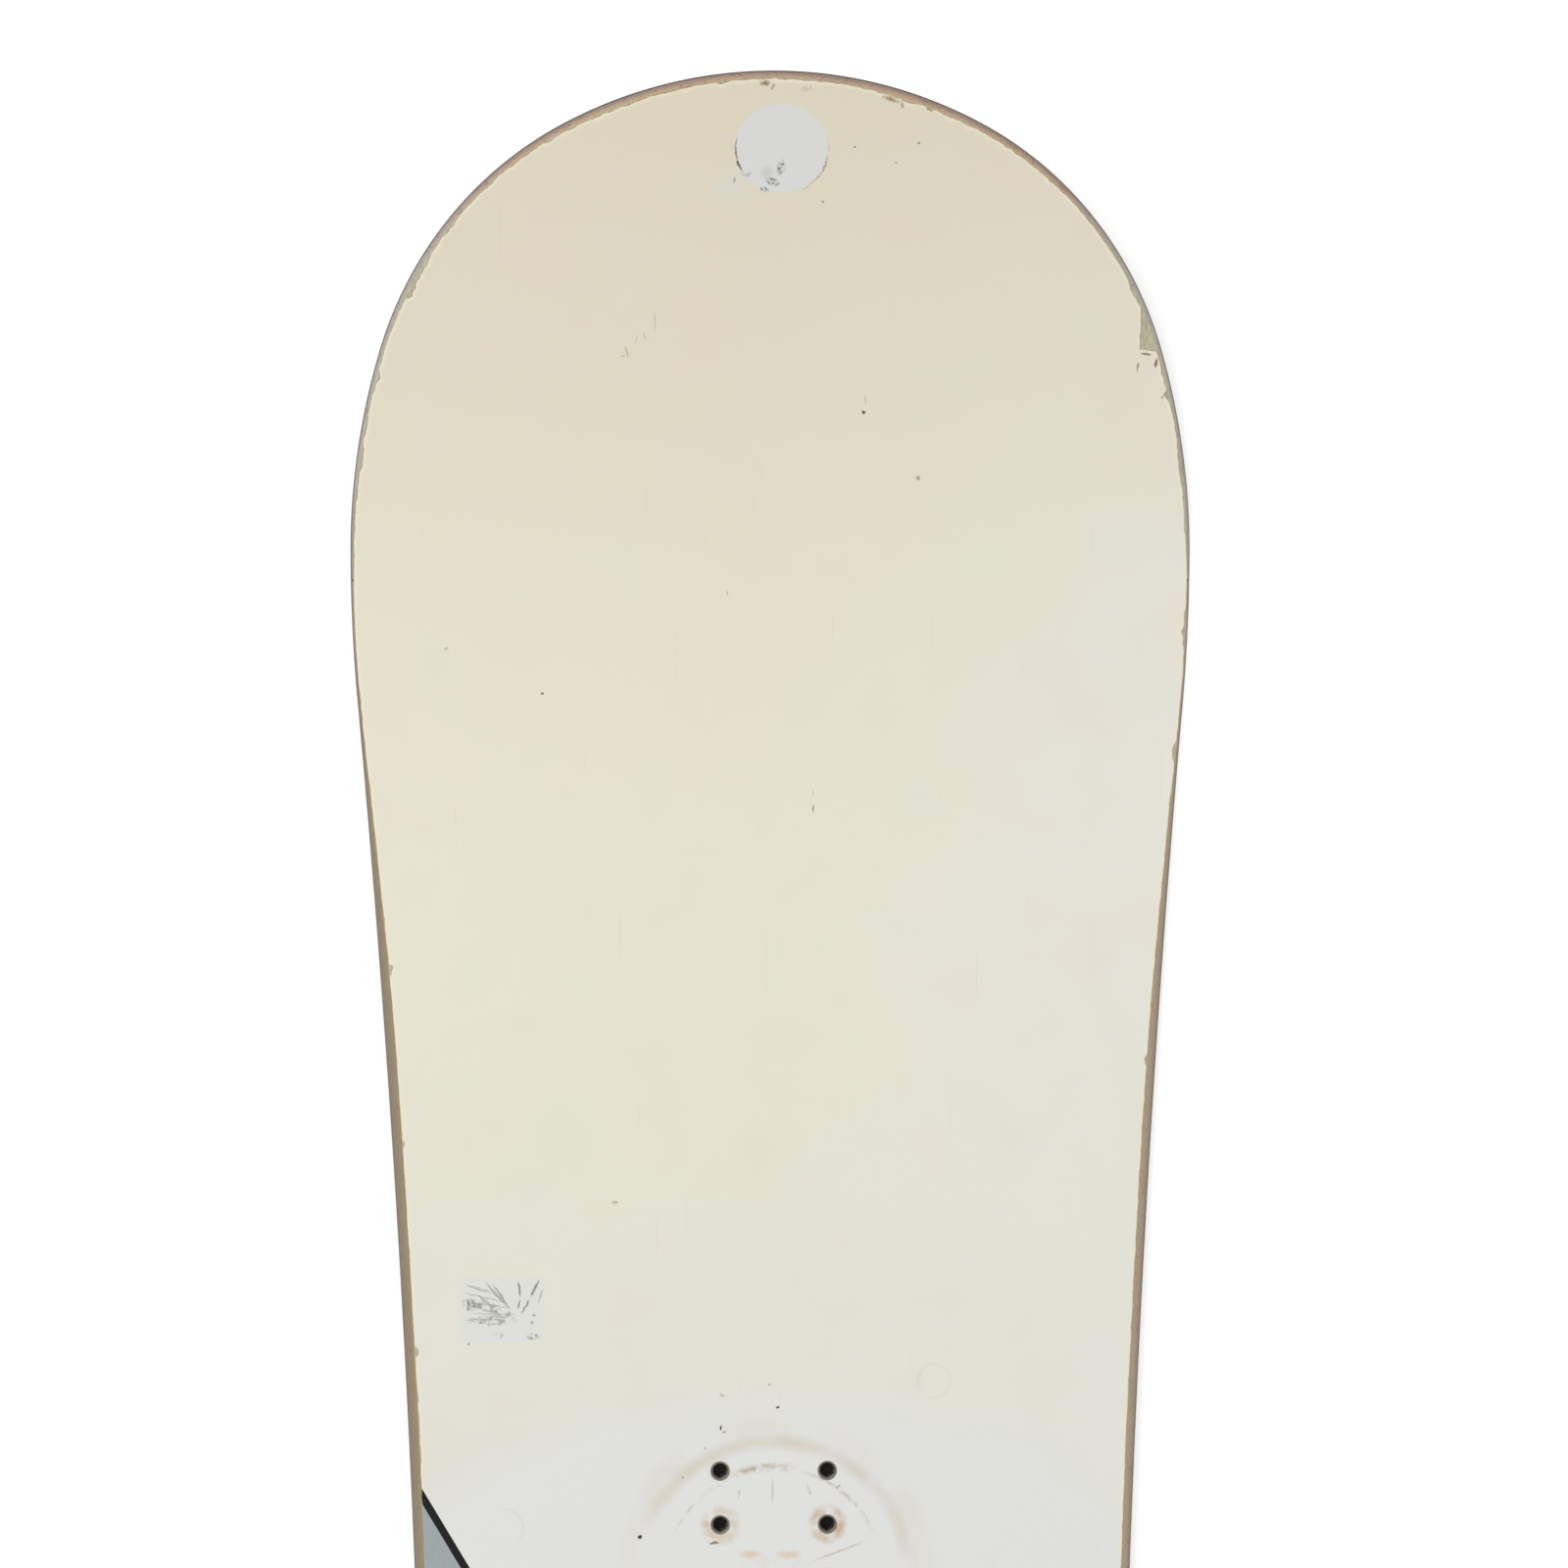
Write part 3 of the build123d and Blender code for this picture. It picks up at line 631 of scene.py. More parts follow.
def addNode(tree, kind, values=None, output=None):
    # Adds one shader node. A value goes to a property, or to an input by its name or its number among the
    # inputs in use, and a value that is another node's socket is linked. Returns one output.
    node = tree.nodes.new("ShaderNode" + kind)
    inputs = {}
    for key, value in (values or {}).items():
        if isinstance(key, str) and key in node.bl_rna.properties:
            setattr(node, key, value)
        else:
            inputs[key] = value
    used = [socket for socket in node.inputs if socket.enabled]
    named = {socket.name: socket for socket in reversed(used)}
    for key, value in inputs.items():
        socket = named[key] if isinstance(key, str) else used[key]
        if isinstance(value, bpy.types.NodeSocket):
            tree.links.new(value, socket)
        else:
            socket.default_value = value
    return node.outputs[output] if output else [socket for socket in node.outputs if socket.enabled][0]


def startMaterial(name, surface):
    # New material with the shader's fixed values set, a function that adds nodes to it, and the place on the
    # piece in millimetres
    material = bpy.data.materials.new(name)
    material.use_nodes = True
    add = partial(addNode, material.node_tree)
    shader = material.node_tree.nodes["Principled BSDF"]
    for key, value in surface.items():
        shader.inputs[key].default_value = value
    coordinates = add("TexCoord", output="Object")
    return material, shader, add, add("VectorMath", {"operation": "SCALE", "Scale": 1 / mm, 0: coordinates})


def joinShader(add, shader, colour, roughness, height, depth):
    # Colour, roughness and a bump of depth millimetres into the shader
    bump = add("Bump", {"Distance": depth * mm, "Height": height})
    for name, socket in (("Base Color", colour), ("Roughness", roughness), ("Normal", bump)):
        shader.id_data.links.new(socket, shader.inputs[name])


def mixColours(add, first, second, mask):
    # From the first colour to the second where the mask rises
    return add("Mix", {"data_type": "RGBA", "A": linear(first), "B": linear(second), 0: mask})


def paintOver(add, colour, coats):
    # Lays coats of colour over each other, each where its mask says. Coats that come from a generator are
    # made one at a time, mask and mix together, which keeps long lists within the shader's memory.
    for tint, mask in coats:
        colour = add("Mix", {"data_type": "RGBA", "B": linear(tint), 0: mask, 1: colour})
    return colour


def ellipseMask(add, place, mark):
    # 1 inside a turned ellipse with half sizes in millimetres, fading out over its soft share. A mark
    # with grain is broken up by noise of so many spots a millimetre.
    local = add("Mapping",
        {"vector_type": "TEXTURE", "Location": (*mark["at"], 0.0), "Scale": (*mark["half"], 1.0),
        "Rotation": (0.0, 0.0, math.radians(mark.get("turn", 0.0))), "Vector": place})
    reach = add("VectorMath", {"operation": "LENGTH", 0: local})
    mask = add("MapRange",
        {"interpolation_type": "SMOOTHSTEP", "From Min": 1.0, "From Max": 1.0 - mark.get("soft", 0.4),
        "To Max": mark.get("strength", 1.0), "Value": reach})
    if "grain" in mark:
        stretched = add("VectorMath", {"operation": "MULTIPLY", 1: (*mark["grain"], 0.0), 0: place})
        patches = add("TexNoise", {"Scale": 1.0, "Detail": 3.0, "Roughness": 0.65, "Vector": stretched})
        broken = add("MapRange", {"From Min": 0.46, "From Max": 0.58, "Value": patches})
        mask = add("Math", {"operation": "MULTIPLY", 0: mask, 1: broken})
    return mask


def ringMask(add, place, mark):
    # A soft band at a radius round a centre, broken up by patchy noise; facing keeps one sector of it
    out = add("VectorMath", {"operation": "SUBTRACT", 1: (*mark["at"], 0.0), 0: place})
    out = add("VectorMath", {"operation": "DIVIDE", 1: (mark.get("flatten", 1.0), 1.0, 1.0), 0: out})
    reach = add("VectorMath", {"operation": "LENGTH", 0: out})
    away = add("Math", {"operation": "SUBTRACT", 1: mark["radius"], 0: reach})
    size = add("Math", {"operation": "ABSOLUTE", 0: away})
    band = add("MapRange", {"interpolation_type": "SMOOTHSTEP", "From Min": mark["width"], "From Max": 0.0,
        "To Max": mark["strength"], "Value": size})
    patches = add("TexNoise", {"Scale": mark.get("patch", 0.11), "Detail": 3.0, "Vector": place})
    broken = add("MapRange", {"From Min": mark.get("worn", 0.36), "From Max": 0.62, "Value": patches})
    mask = add("Math", {"operation": "MULTIPLY", 0: band, 1: broken})
    if "facing" in mark:
        turn = math.radians(mark["facing"])
        way = add("VectorMath", {"operation": "NORMALIZE", 0: out})
        toward = add("VectorMath", {"operation": "DOT_PRODUCT", 1: (math.cos(turn), math.sin(turn), 0.0),
            0: way})
        edge = math.cos(math.radians(mark["spread"]))
        sector = add("MapRange",
            {"interpolation_type": "SMOOTHSTEP", "From Min": edge, "From Max": min(edge + 0.25, 1.0),
            "Value": toward})
        mask = add("Math", {"operation": "MULTIPLY", 0: mask, 1: sector})
    return mask


topsheetLook = {
    "along": [(-796.0, "#DDD8CB"), (-560.0, "#DAD8CE"), (-380.0, "#D6D6CE"), (-120.0, "#D8D8CE"),
              (150.0, "#D8D8D0"), (300.0, "#DDDCCF"), (430.0, "#E0DDCB"), (520.0, "#E0DCCA"),
              (610.0, "#DED9C4"), (700.0, "#DAD3BF"), (796.0, "#D8D0BB")],
    "paleSide": "#DFDFD8",     # the right side has yellowed less
    "underBinding": "#DCDCDA",
    "footHalf": (66.0, 135.0),
    "clouds": ((0.56, 0.75, "#DCCFC0", 0.2), (0.44, 0.25, "#D2D8C8", 0.2)),
    "disc": {"at": (769.0, -2.7), "half": (16.4, 18.0), "soft": 0.1, "strength": 0.95, "tint": "#D4D4D4"},
    "halo": {"at": (755.5, 15.0), "half": (9.0, 11.0), "soft": 1.0, "strength": 0.55, "tint": "#D0D5CE"},
    "label": {"at": (339.0, 101.7), "half": (12.4, 16.0), "tint": "#DADAD7", "worn": "#85837F"},
    "sash": {"at": (272.7, 132.7), "turn": 30.9, "stripe": 2.9, "width": 69.7, "soft": 0.06,
             "black": "#0C0D0E", "steelBlue": "#929A9C", "glint": "#A1A9AB"},
    "specks": ((26.0, 0.014, "#8C8676"), (11.0, 0.020, "#B8B19E")),    # mm apart, largest share of that, tint
    "scratches": "#C9BFA8",
    # painted highlight along the topsheet's rim
    "rimHighlight": "#E7DDC6",
    "rimDirt": "#8E7650",
    "roughness": (0.30, 0.48),
}


def marksFrom(columns, rows):
    # Rows of place, half sizes and then the named columns, as one dictionary each
    return [{"at": row[:2], "half": row[2:4], **dict(zip(columns, row[4:]))} for row in rows]


def ringsFrom(rows):
    # Rows of place, radius, half width, strength and tint, and a dictionary of the rest, as one each
    keys = ("at", "radius", "width", "strength", "tint")
    return [{**dict(zip(keys, row)), **row[-1]} for row in rows]


# bands of dirt round a centre: patch is the pattern's spots a millimetre, facing and spread keep one sector
dirtRings = ringsFrom([
    ((311.7, -60.0), 6.2, 0.9, 0.6, "#D5CCB6", {"patch": 0.05}),
    ((257.6, 100.7), 7.3, 1.0, 0.4, "#D2CBBC", {"patch": 0.05}),
    ((769.0, -3.0), 17.1, 0.6, 1.5, "#6E5C48",
     {"patch": 0.35, "flatten": 0.93, "facing": 100.0, "spread": 30.0}),
    ((769.0, -3.0), 17.2, 0.6, 0.9, "#968A76",
     {"patch": 0.35, "flatten": 0.93, "facing": -118.0, "spread": 42.0}),
])
for foot in (front, rear):
    dirtRings += ringsFrom([
        ((foot, 0.4), 50.8, 4.6, 0.48, "#C8BA9F",
         {"patch": 0.07, "worn": 0.12, "facing": -8.0, "spread": 78.0}),
        ((foot, 0.4), 56.0, 8.0, 0.25, "#CDC2AA", {"patch": 0.04}),
        ((foot, 0.4), 41.4, 2.2, 0.85, "#A8987C", {"patch": 0.3, "facing": 5.0, "spread": 19.0}),
        ((foot, 0.4), 41.2, 1.1, 0.65, "#A39072", {"patch": 0.35, "facing": -40.0, "spread": 28.0}),
        ((foot, 0.4), 40.4, 1.0, 0.4, "#B0A48C", {"patch": 0.3, "facing": 45.0, "spread": 24.0}),
        ((foot + 20.0, -20.0), 4.6, 3.8, 0.9, "#BFA486", {"patch": 0.22}),
        ((foot + 20.0, 20.0), 4.8, 3.9, 0.8, "#C7AF90", {"patch": 0.2}),
        ((foot + 40.0, 20.0), 4.0, 1.2, 0.35, "#C9BCA2", {"patch": 0.3}),
    ])
# specks, cracks and strokes, in millimetres on the board: place, half sizes, turn, strength, tint, and then
# softness and grain for the ones that aren't plain
marks = marksFrom(("turn", "strength", "tint", "soft", "grain"), [
    (673.7, -34.3, 0.8, 1.0, 0, 1.0, "#54493A"), (678.5, -35.0, 2.6, 0.35, 0, 0.35, "#8C8474"),
    (649.4, -55.0, 0.9, 0.9, 0, 0.75, "#83857A"),
    (585.6, 122.0, 0.7, 1.6, 0, 0.8, "#7E7260", 0.4, (0.9, 0.9)),
    (568.7, 86.1, 0.5, 1.0, 10.0, 0.85, "#5F574A"), (525.6, -15.5, 1.9, 0.45, 8.0, 0.8, "#75604A"),
    (531.5, -15.2, 1.6, 0.3, 0, 0.35, "#9A8C74"), (606.5, 16.6, 1.2, 0.3, 0, 0.7, "#8A8474"),
    (378.8, 58.9, 0.6, 1.5, 0, 0.6, "#9A9384"), (254.3, 50.0, 0.8, 1.2, 20.0, 1.0, "#2E2A26"),
    (302.2, -1.5, 0.5, 0.8, 0, 1.0, "#4A4640"), (294.6, 19.6, 1.2, 0.4, -15.0, 1.0, "#504B44"),
    (293.1, 18.5, 0.3, 1.0, 20.0, 0.8, "#6A645A"), (310.6, 1.6, 0.45, 0.7, 0, 0.7, "#8D877C"),
    (306.7, 19.2, 0.6, 2.0, -20.0, 0.8, "#8D877C", 0.4, (0.8, 0.8)),
    (287.0, 25.8, 0.4, 0.5, 0, 0.8, "#7A7060"), (276.3, 34.0, 0.4, 0.5, 0, 0.8, "#8A765A"),
    (251.8, 22.3, 0.6, 2.4, 8.0, 0.9, "#85653F"), (271.0, 0.5, 7.5, 0.55, 0, 0.5, "#AFA088", 0.8),
    (270.0, 13.0, 3.0, 0.5, -10.0, 0.7, "#A2957F", 0.4, (0.8, 0.8)),
    (271.0, -13.0, 3.2, 0.6, 25.0, 0.7, "#A99A80", 0.4, (0.8, 0.8)),
    (248.4, -24.5, 14.3, 0.55, -69.3, 0.6, "#B39F82", 0.8),
    (272.4, -24.0, 1.0, 1.3, 35.0, 0.75, "#8F7E66", 0.4, (0.9, 0.9)),
    (247.4, 8.8, 2.2, 5.6, 0, 0.6, "#D2B78C", 0.9), (247.2, -5.6, 2.2, 6.4, 0, 0.6, "#D2B78C", 0.9),
    (243.0, 1.0, 6.0, 17.0, 0, 0.3, "#D9C4AC", 1.0, (0.15, 0.15)),
    (690.4, -136.9, 2.4, 0.4, -4.0, 0.8, "#8B7C62"), (692.6, -143.9, 2.6, 0.7, -8.0, 0.9, "#77633F"),
    (695.3, -140.0, 0.45, 2.4, 0, 0.85, "#665C4A"), (680.0, -147.0, 1.8, 0.4, 130.0, 0.9, "#6B5B45"),
    (696.0, 54.2, 2.6, 0.35, 15.0, 0.6, "#A08F74"), (694.3, 55.8, 0.35, 1.3, 0, 0.5, "#A08F74"),
    (700.6, 50.5, 1.9, 0.3, -10.0, 0.45, "#A89A82"), (701.8, 47.6, 1.7, 0.3, 6.0, 0.5, "#A89A82"),
    (707.0, 43.8, 4.6, 0.3, 0, 0.4, "#AEA18A"), (792.0, 3.6, 1.5, 2.7, 0, 0.9, "#7C643C", 0.6),
    (790.4, 0.8, 1.6, 0.6, -30.0, 0.7, "#8E7A54"), (786.6, -42.8, 1.4, 4.6, -15.0, 0.9, "#8A6C42", 0.6),
    (784.6, -47.0, 2.0, 0.8, -8.0, 0.75, "#98794C", 0.6),
    (789.6, -12.0, 1.3, 3.0, 0, 0.8, "#A99E72", 0.4, (0.5, 0.5)),
    (769.6, -29.7, 0.5, 0.6, 0, 0.9, "#8B8676"), (764.1, -45.0, 0.4, 0.5, 0, 0.7, "#9A9584"),
    (771.0, -53.5, 0.6, 0.5, 0, 0.9, "#8B8676"), (750.2, -18.4, 0.6, 0.5, 0, 0.9, "#8B8676"),
    (757.6, 14.6, 1.5, 0.5, -10.0, 0.9, "#8A8B84", 0.4, (1.2, 1.2)),
    (759.8, 9.4, 0.9, 1.4, 30.0, 0.6, "#A3A29E"),
    (762.3, -2.6, 3.4, 2.0, -12.0, 1.0, "#6F6A66", 0.6, (1.3, 1.5)),
    (757.2, 0.4, 1.9, 3.6, -15.0, 1.0, "#77716B", 0.6, (1.3, 1.3)),
    (754.6, 3.4, 1.2, 2.2, -8.0, 1.0, "#7C736A", 0.6, (1.4, 1.2)),
    (760.5, 2.5, 3.4, 3.6, 0, 0.35, "#A9A8A6", 0.9),
])
labelMarks = marksFrom(("turn", "strength", "grain"), [        # scratches fanning out over the old label
    (346.9, 109.9, 6.3, 0.6, 73.0, 0.45), (344.9, 103.5, 7.1, 0.5, 41.9, 0.65),
    (344.0, 101.5, 6.6, 0.5, 33.6, 0.7), (342.0, 107.0, 4.0, 0.45, 55.0, 0.55),
    (346.5, 94.7, 3.4, 0.45, 6.7, 0.95), (341.2, 94.9, 2.3, 0.4, -15.4, 0.9),
    (346.9, 88.9, 4.3, 0.55, -26.6, 0.95), (340.1, 92.5, 3.8, 0.45, -30.5, 0.9),
    (344.0, 86.9, 3.2, 0.4, -20.0, 0.5), (329.0, 89.6, 1.6, 2.8, 0, 1.0, (0.9, 0.8)),
    (337.0, 89.3, 0.5, 0.7, 0, 0.8), (334.1, 90.0, 0.7, 0.6, 0, 0.7),
    (329.5, 103.0, 1.2, 3.2, 0, 0.4, (0.6, 0.9)), (326.2, 113.7, 0.55, 0.55, 0, 1.0),
    (340.4, 108.4, 8.8, 2.2, 75.0, 0.75, (1.0, 0.35)), (334.9, 105.4, 2.2, 11.0, 0, 0.7, (1.0, 0.3)),
    (340.6, 113.2, 2.4, 3.4, -20.0, 1.0, (1.1, 0.9)), (337.2, 100.8, 1.6, 6.0, -12.0, 0.6, (1.0, 0.4)),
    (343.5, 107.5, 9.5, 0.35, 76.0, 0.5), (340.8, 105.5, 9.5, 0.35, 82.0, 0.5),
    (337.4, 104.5, 10.5, 0.3, 88.0, 0.45), (334.6, 106.0, 8.5, 0.5, 91.0, 0.5, (1.0, 0.6)),
    (338.7, 103.6, 0.6, 0.6, 0, 0.9), (338.0, 98.4, 0.5, 0.6, 0, 0.8),
])
topsheetStretches = [          # each stretch along the board has its own marks, which keeps its shader small
    ("nose", 620.0, 800.0), ("fore body", 420.0, 620.0), ("front foot", -26.0, 420.0),
    ("rear foot", -800.0, -26.0),
]


def topsheetMaterial(stretch, start, end):
    # Cast polyester topsheet, gloss worn to satin: cream where light has yellowed it, whiter where the
    # binding and old labels kept the light off, with dirt rings, rust, specks and fine scratches
    material, shader, add, place = startMaterial(f"worn polyester topsheet, {stretch}", {
        "IOR": 1.50, "Specular IOR Level": 0.24})

    def isHere(mark):
        # whether the mark's middle lies on this stretch
        return start <= mark["at"][0] < end

    flat = add("VectorMath", {"operation": "MULTIPLY", 1: (1.0, 1.0, 0.0), 0: place})
    wobble = add("TexNoise", {"Scale": 0.55, "Detail": 3.0, "Vector": flat}, "Color")
    centred = add("VectorMath", {"operation": "SUBTRACT", 1: (0.5, 0.5, 0.5), 0: wobble})
    rough = add("VectorMath", {"operation": "MULTIPLY_ADD", 1: (1.4, 1.4, 0.0), 0: centred, 2: flat})
    x, y = add("SeparateXYZ", {0: flat}).node.outputs[:2]

    # yellowing along the board, paler to the right and cloudy all over
    share = add("MapRange", {"From Min": tailTip, "From Max": noseTip, "Value": x})
    colour = add("ValToRGB", {0: share})
    ramp = colour.node.color_ramp
    stops = topsheetLook["along"]
    for number, (spot, tint) in enumerate(stops):
        where = (spot - tailTip) / (noseTip - tailTip)
        element = ramp.elements[number] if number < 2 else ramp.elements.new(where)
        element.position = where
        element.color = linear(tint)
    clouds = add("TexNoise", {"Scale": 0.018, "Detail": 4.0, "Roughness": 0.55, "Vector": flat})
    toRight = add("MapRange", {"From Min": 10.0, "From Max": -190.0, "Value": y})
    paleRight = add("Math", {"operation": "MULTIPLY", 0: toRight, 1: clouds})
    belowTip = add("MapRange", {"From Min": 800.0, "From Max": 560.0, "To Max": 1.5, "Value": x})
    paleMask = add("Math", {"operation": "MULTIPLY", "use_clamp": True, 0: paleRight, 1: belowTip})
    coats = [(topsheetLook["paleSide"], paleMask)]
    tints = add("TexNoise", {"Scale": 0.03, "Detail": 2.0, "Vector": place})
    for low, high, tint, strength in topsheetLook["clouds"]:
        coats.append((tint, add("MapRange", {"From Min": low, "From Max": high,
            "To Max": strength, "Value": tints})))

    # unyellowed where each binding stood
    for centre in (front, rear):
        if not start <= centre < end:
            continue
        local = add("Mapping", {"vector_type": "TEXTURE", "Location": (centre, 0.0, 0.0),
            "Scale": (*topsheetLook["footHalf"], 1.0), "Vector": flat})
        reach = add("VectorMath", {"operation": "LENGTH", 0: local})
        edge = add("Math", {"operation": "MULTIPLY_ADD", 1: 0.5, 0: clouds, 2: reach})
        coats.append((topsheetLook["underBinding"],
            add("MapRange", {"interpolation_type": "SMOOTHSTEP", "From Min": 1.45, "From Max": 1.12,
            "To Max": 0.95, "Value": edge})))
    colour = paintOver(add, colour, coats)

    # sash: a steel-blue band between two black stripes, on a slanted axis
    sash = topsheetLook["sash"]
    slant = math.radians(sash["turn"])
    outFrom = add("VectorMath", {"operation": "SUBTRACT", 1: (*sash["at"], 0.0), 0: flat})
    over = add("VectorMath", {"operation": "DOT_PRODUCT", 1: (-math.sin(slant), math.cos(slant), 0.0),
        0: outFrom})
    middle = add("Math", {"operation": "SUBTRACT", 1: sash["width"] / 2, 0: over})
    fromMiddle = add("Math", {"operation": "ABSOLUTE", 0: middle})
    sashMasks = []
    for half in ((sash["width"] + sash["stripe"]) / 2, (sash["width"] - sash["stripe"]) / 2):
        sashMasks.append(add("MapRange",
            {"From Min": half + sash["soft"], "From Max": half - sash["soft"], "Value": fromMiddle}))
    grain = add("TexNoise", {"Scale": 1.6, "Detail": 2.0, "Vector": flat})
    shimmer = add("MapRange", {"From Min": 0.3, "From Max": 0.7, "Value": grain})
    blue = mixColours(add, sash["steelBlue"], sash["glint"], shimmer)
    colour = paintOver(add, colour, [(sash["black"], sashMasks[0])])
    colour = add("Mix", {"data_type": "RGBA", 0: sashMasks[1], 1: colour, 2: blue})

    # old labels: a disc at the nose and a scratched oblong by the left edge
    disc, label = topsheetLook["disc"], topsheetLook["label"]
    if isHere(disc):
        colour = paintOver(add, colour, [
            (mark["tint"], ellipseMask(add, rough, mark)) for mark in (topsheetLook["halo"], disc)])
    if isHere(label):
        local = add("VectorMath", {"operation": "SUBTRACT", 1: (*label["at"], 0.0), 0: rough})
        inLabel = add("VectorMath", {"operation": "ABSOLUTE", 0: local})
        scaled = add("VectorMath", {"operation": "DIVIDE", 1: (*label["half"], 1.0), 0: inLabel})
        outX, outY = add("SeparateXYZ", {0: scaled}).node.outputs[:2]
        furthest = add("Math", {"operation": "MAXIMUM", 0: outX, 1: outY})
        labelMask = add("MapRange", {"From Min": 1.05, "From Max": 0.93, "To Max": 0.8, "Value": furthest})
        colour = paintOver(add, colour, [(label["tint"], labelMask)])
        colour = paintOver(add, colour, (
            (label["worn"], ellipseMask(add, rough, mark)) for mark in labelMarks))

    # dirt rings, rust and single marks
    for group, mask in ((dirtRings, ringMask), (marks, ellipseMask)):
        colour = paintOver(add, colour, (
            (mark["tint"], mask(add, rough, mark)) for mark in group if isHere(mark)))

    # small random specks: only the cells whose random number is high hold one, 0.2 to 0.5 mm across
    coats = []
    for cell, size, tint in topsheetLook["specks"]:
        fromDot = add("TexVoronoi", {"Scale": 1 / cell, "Vector": flat})
        pick = add("SeparateColor", {0: fromDot.node.outputs["Color"]})
        limit = add("MapRange", {"From Min": 0.55, "From Max": 1.0, "To Max": size, "Value": pick})
        spot = add("Math", {"operation": "SUBTRACT", 0: limit, 1: fromDot})
        coats.append((tint, add("MapRange", {"From Max": 0.006, "To Max": 0.85, "Value": spot})))
    # hair scratches along the board, 0.3 mm wide and a few centimetres long
    scratchPlace = add("VectorMath", {"operation": "MULTIPLY", 1: (0.018, 1.5, 0.0), 0: rough})
    scratchNoise = add("TexNoise", {"Scale": 1.0, "Detail": 2.0, "Vector": scratchPlace})
    scratchLines = add("MapRange",
        {"From Min": 0.7, "From Max": 0.76, "To Max": 0.3, "Value": scratchNoise})
    coats.append((topsheetLook["scratches"], scratchLines))
    colour = paintOver(add, colour, coats)

    # rim: a painted highlight of pale cream along the edge, with dirt in the very edge
    nearRim = add("Attribute", {"attribute_name": "edgeNear"}, "Fac")
    rimNoise = add("TexNoise", {"Scale": 0.35, "Detail": 3.0, "Vector": place})
    rimHighlightAndDirt = add("Math", {"operation": "MULTIPLY_ADD", 1: 0.7, 0: rimNoise, 2: nearRim})
    # the first mask paints the rim's highlight, the second its dirt
    highlight, dirty = (add("MapRange", {"From Min": low, "From Max": high, "To Max": strength, "Value": rimHighlightAndDirt})
                    for low, high, strength in ((0.95, 1.35, 0.9), (1.38, 1.47, 0.7)))
    unprinted = add("Math", {"operation": "SUBTRACT", 0: 1.0, 1: sashMasks[0]})
    highlightMask = add("Math", {"operation": "MULTIPLY", 0: highlight, 1: unprinted})
    colour = paintOver(add, colour, [(topsheetLook["rimHighlight"], highlightMask), (topsheetLook["rimDirt"], dirty)])

    # satin gloss, duller in the scratches, over a faint orange peel 2 mm apart
    dull = add("TexNoise", {"Scale": 0.05, "Detail": 6.0, "Roughness": 0.7, "Vector": flat})
    gloss = add("MapRange", {"From Min": 0.3, "From Max": 0.7, "To Min": topsheetLook["roughness"][0],
        "To Max": topsheetLook["roughness"][1], "Value": dull})
    dulled = add("Math", {"operation": "MULTIPLY_ADD", 1: 0.5, 0: scratchLines, 2: gloss})
    peel = add("TexNoise", {"Scale": 0.5, "Detail": 2.0, "Vector": place})
    relief = add("Math", {"operation": "SUBTRACT", 0: peel, 1: scratchLines})
    joinShader(add, shader, colour, dulled, relief, 0.02)
    return material


wallLook = {
    "ends": "#9F8473",         # brown round the tips
    "endsTop": "#C4A984",      # and orange tan at the deck
    "shoulders": "#A5A099",    # grey where the bevel is rubbed
    "left": "#7F6F50",
    "right": "#9B8769",
    "foot": "#7A6A60",
    "top": "#C9B48E",
    "grime": "#6B5A44",
    "shouldersFrom": (600.0, 680.0),   # mm from the middle
    "endsFrom": (755.0, 800.0),
}


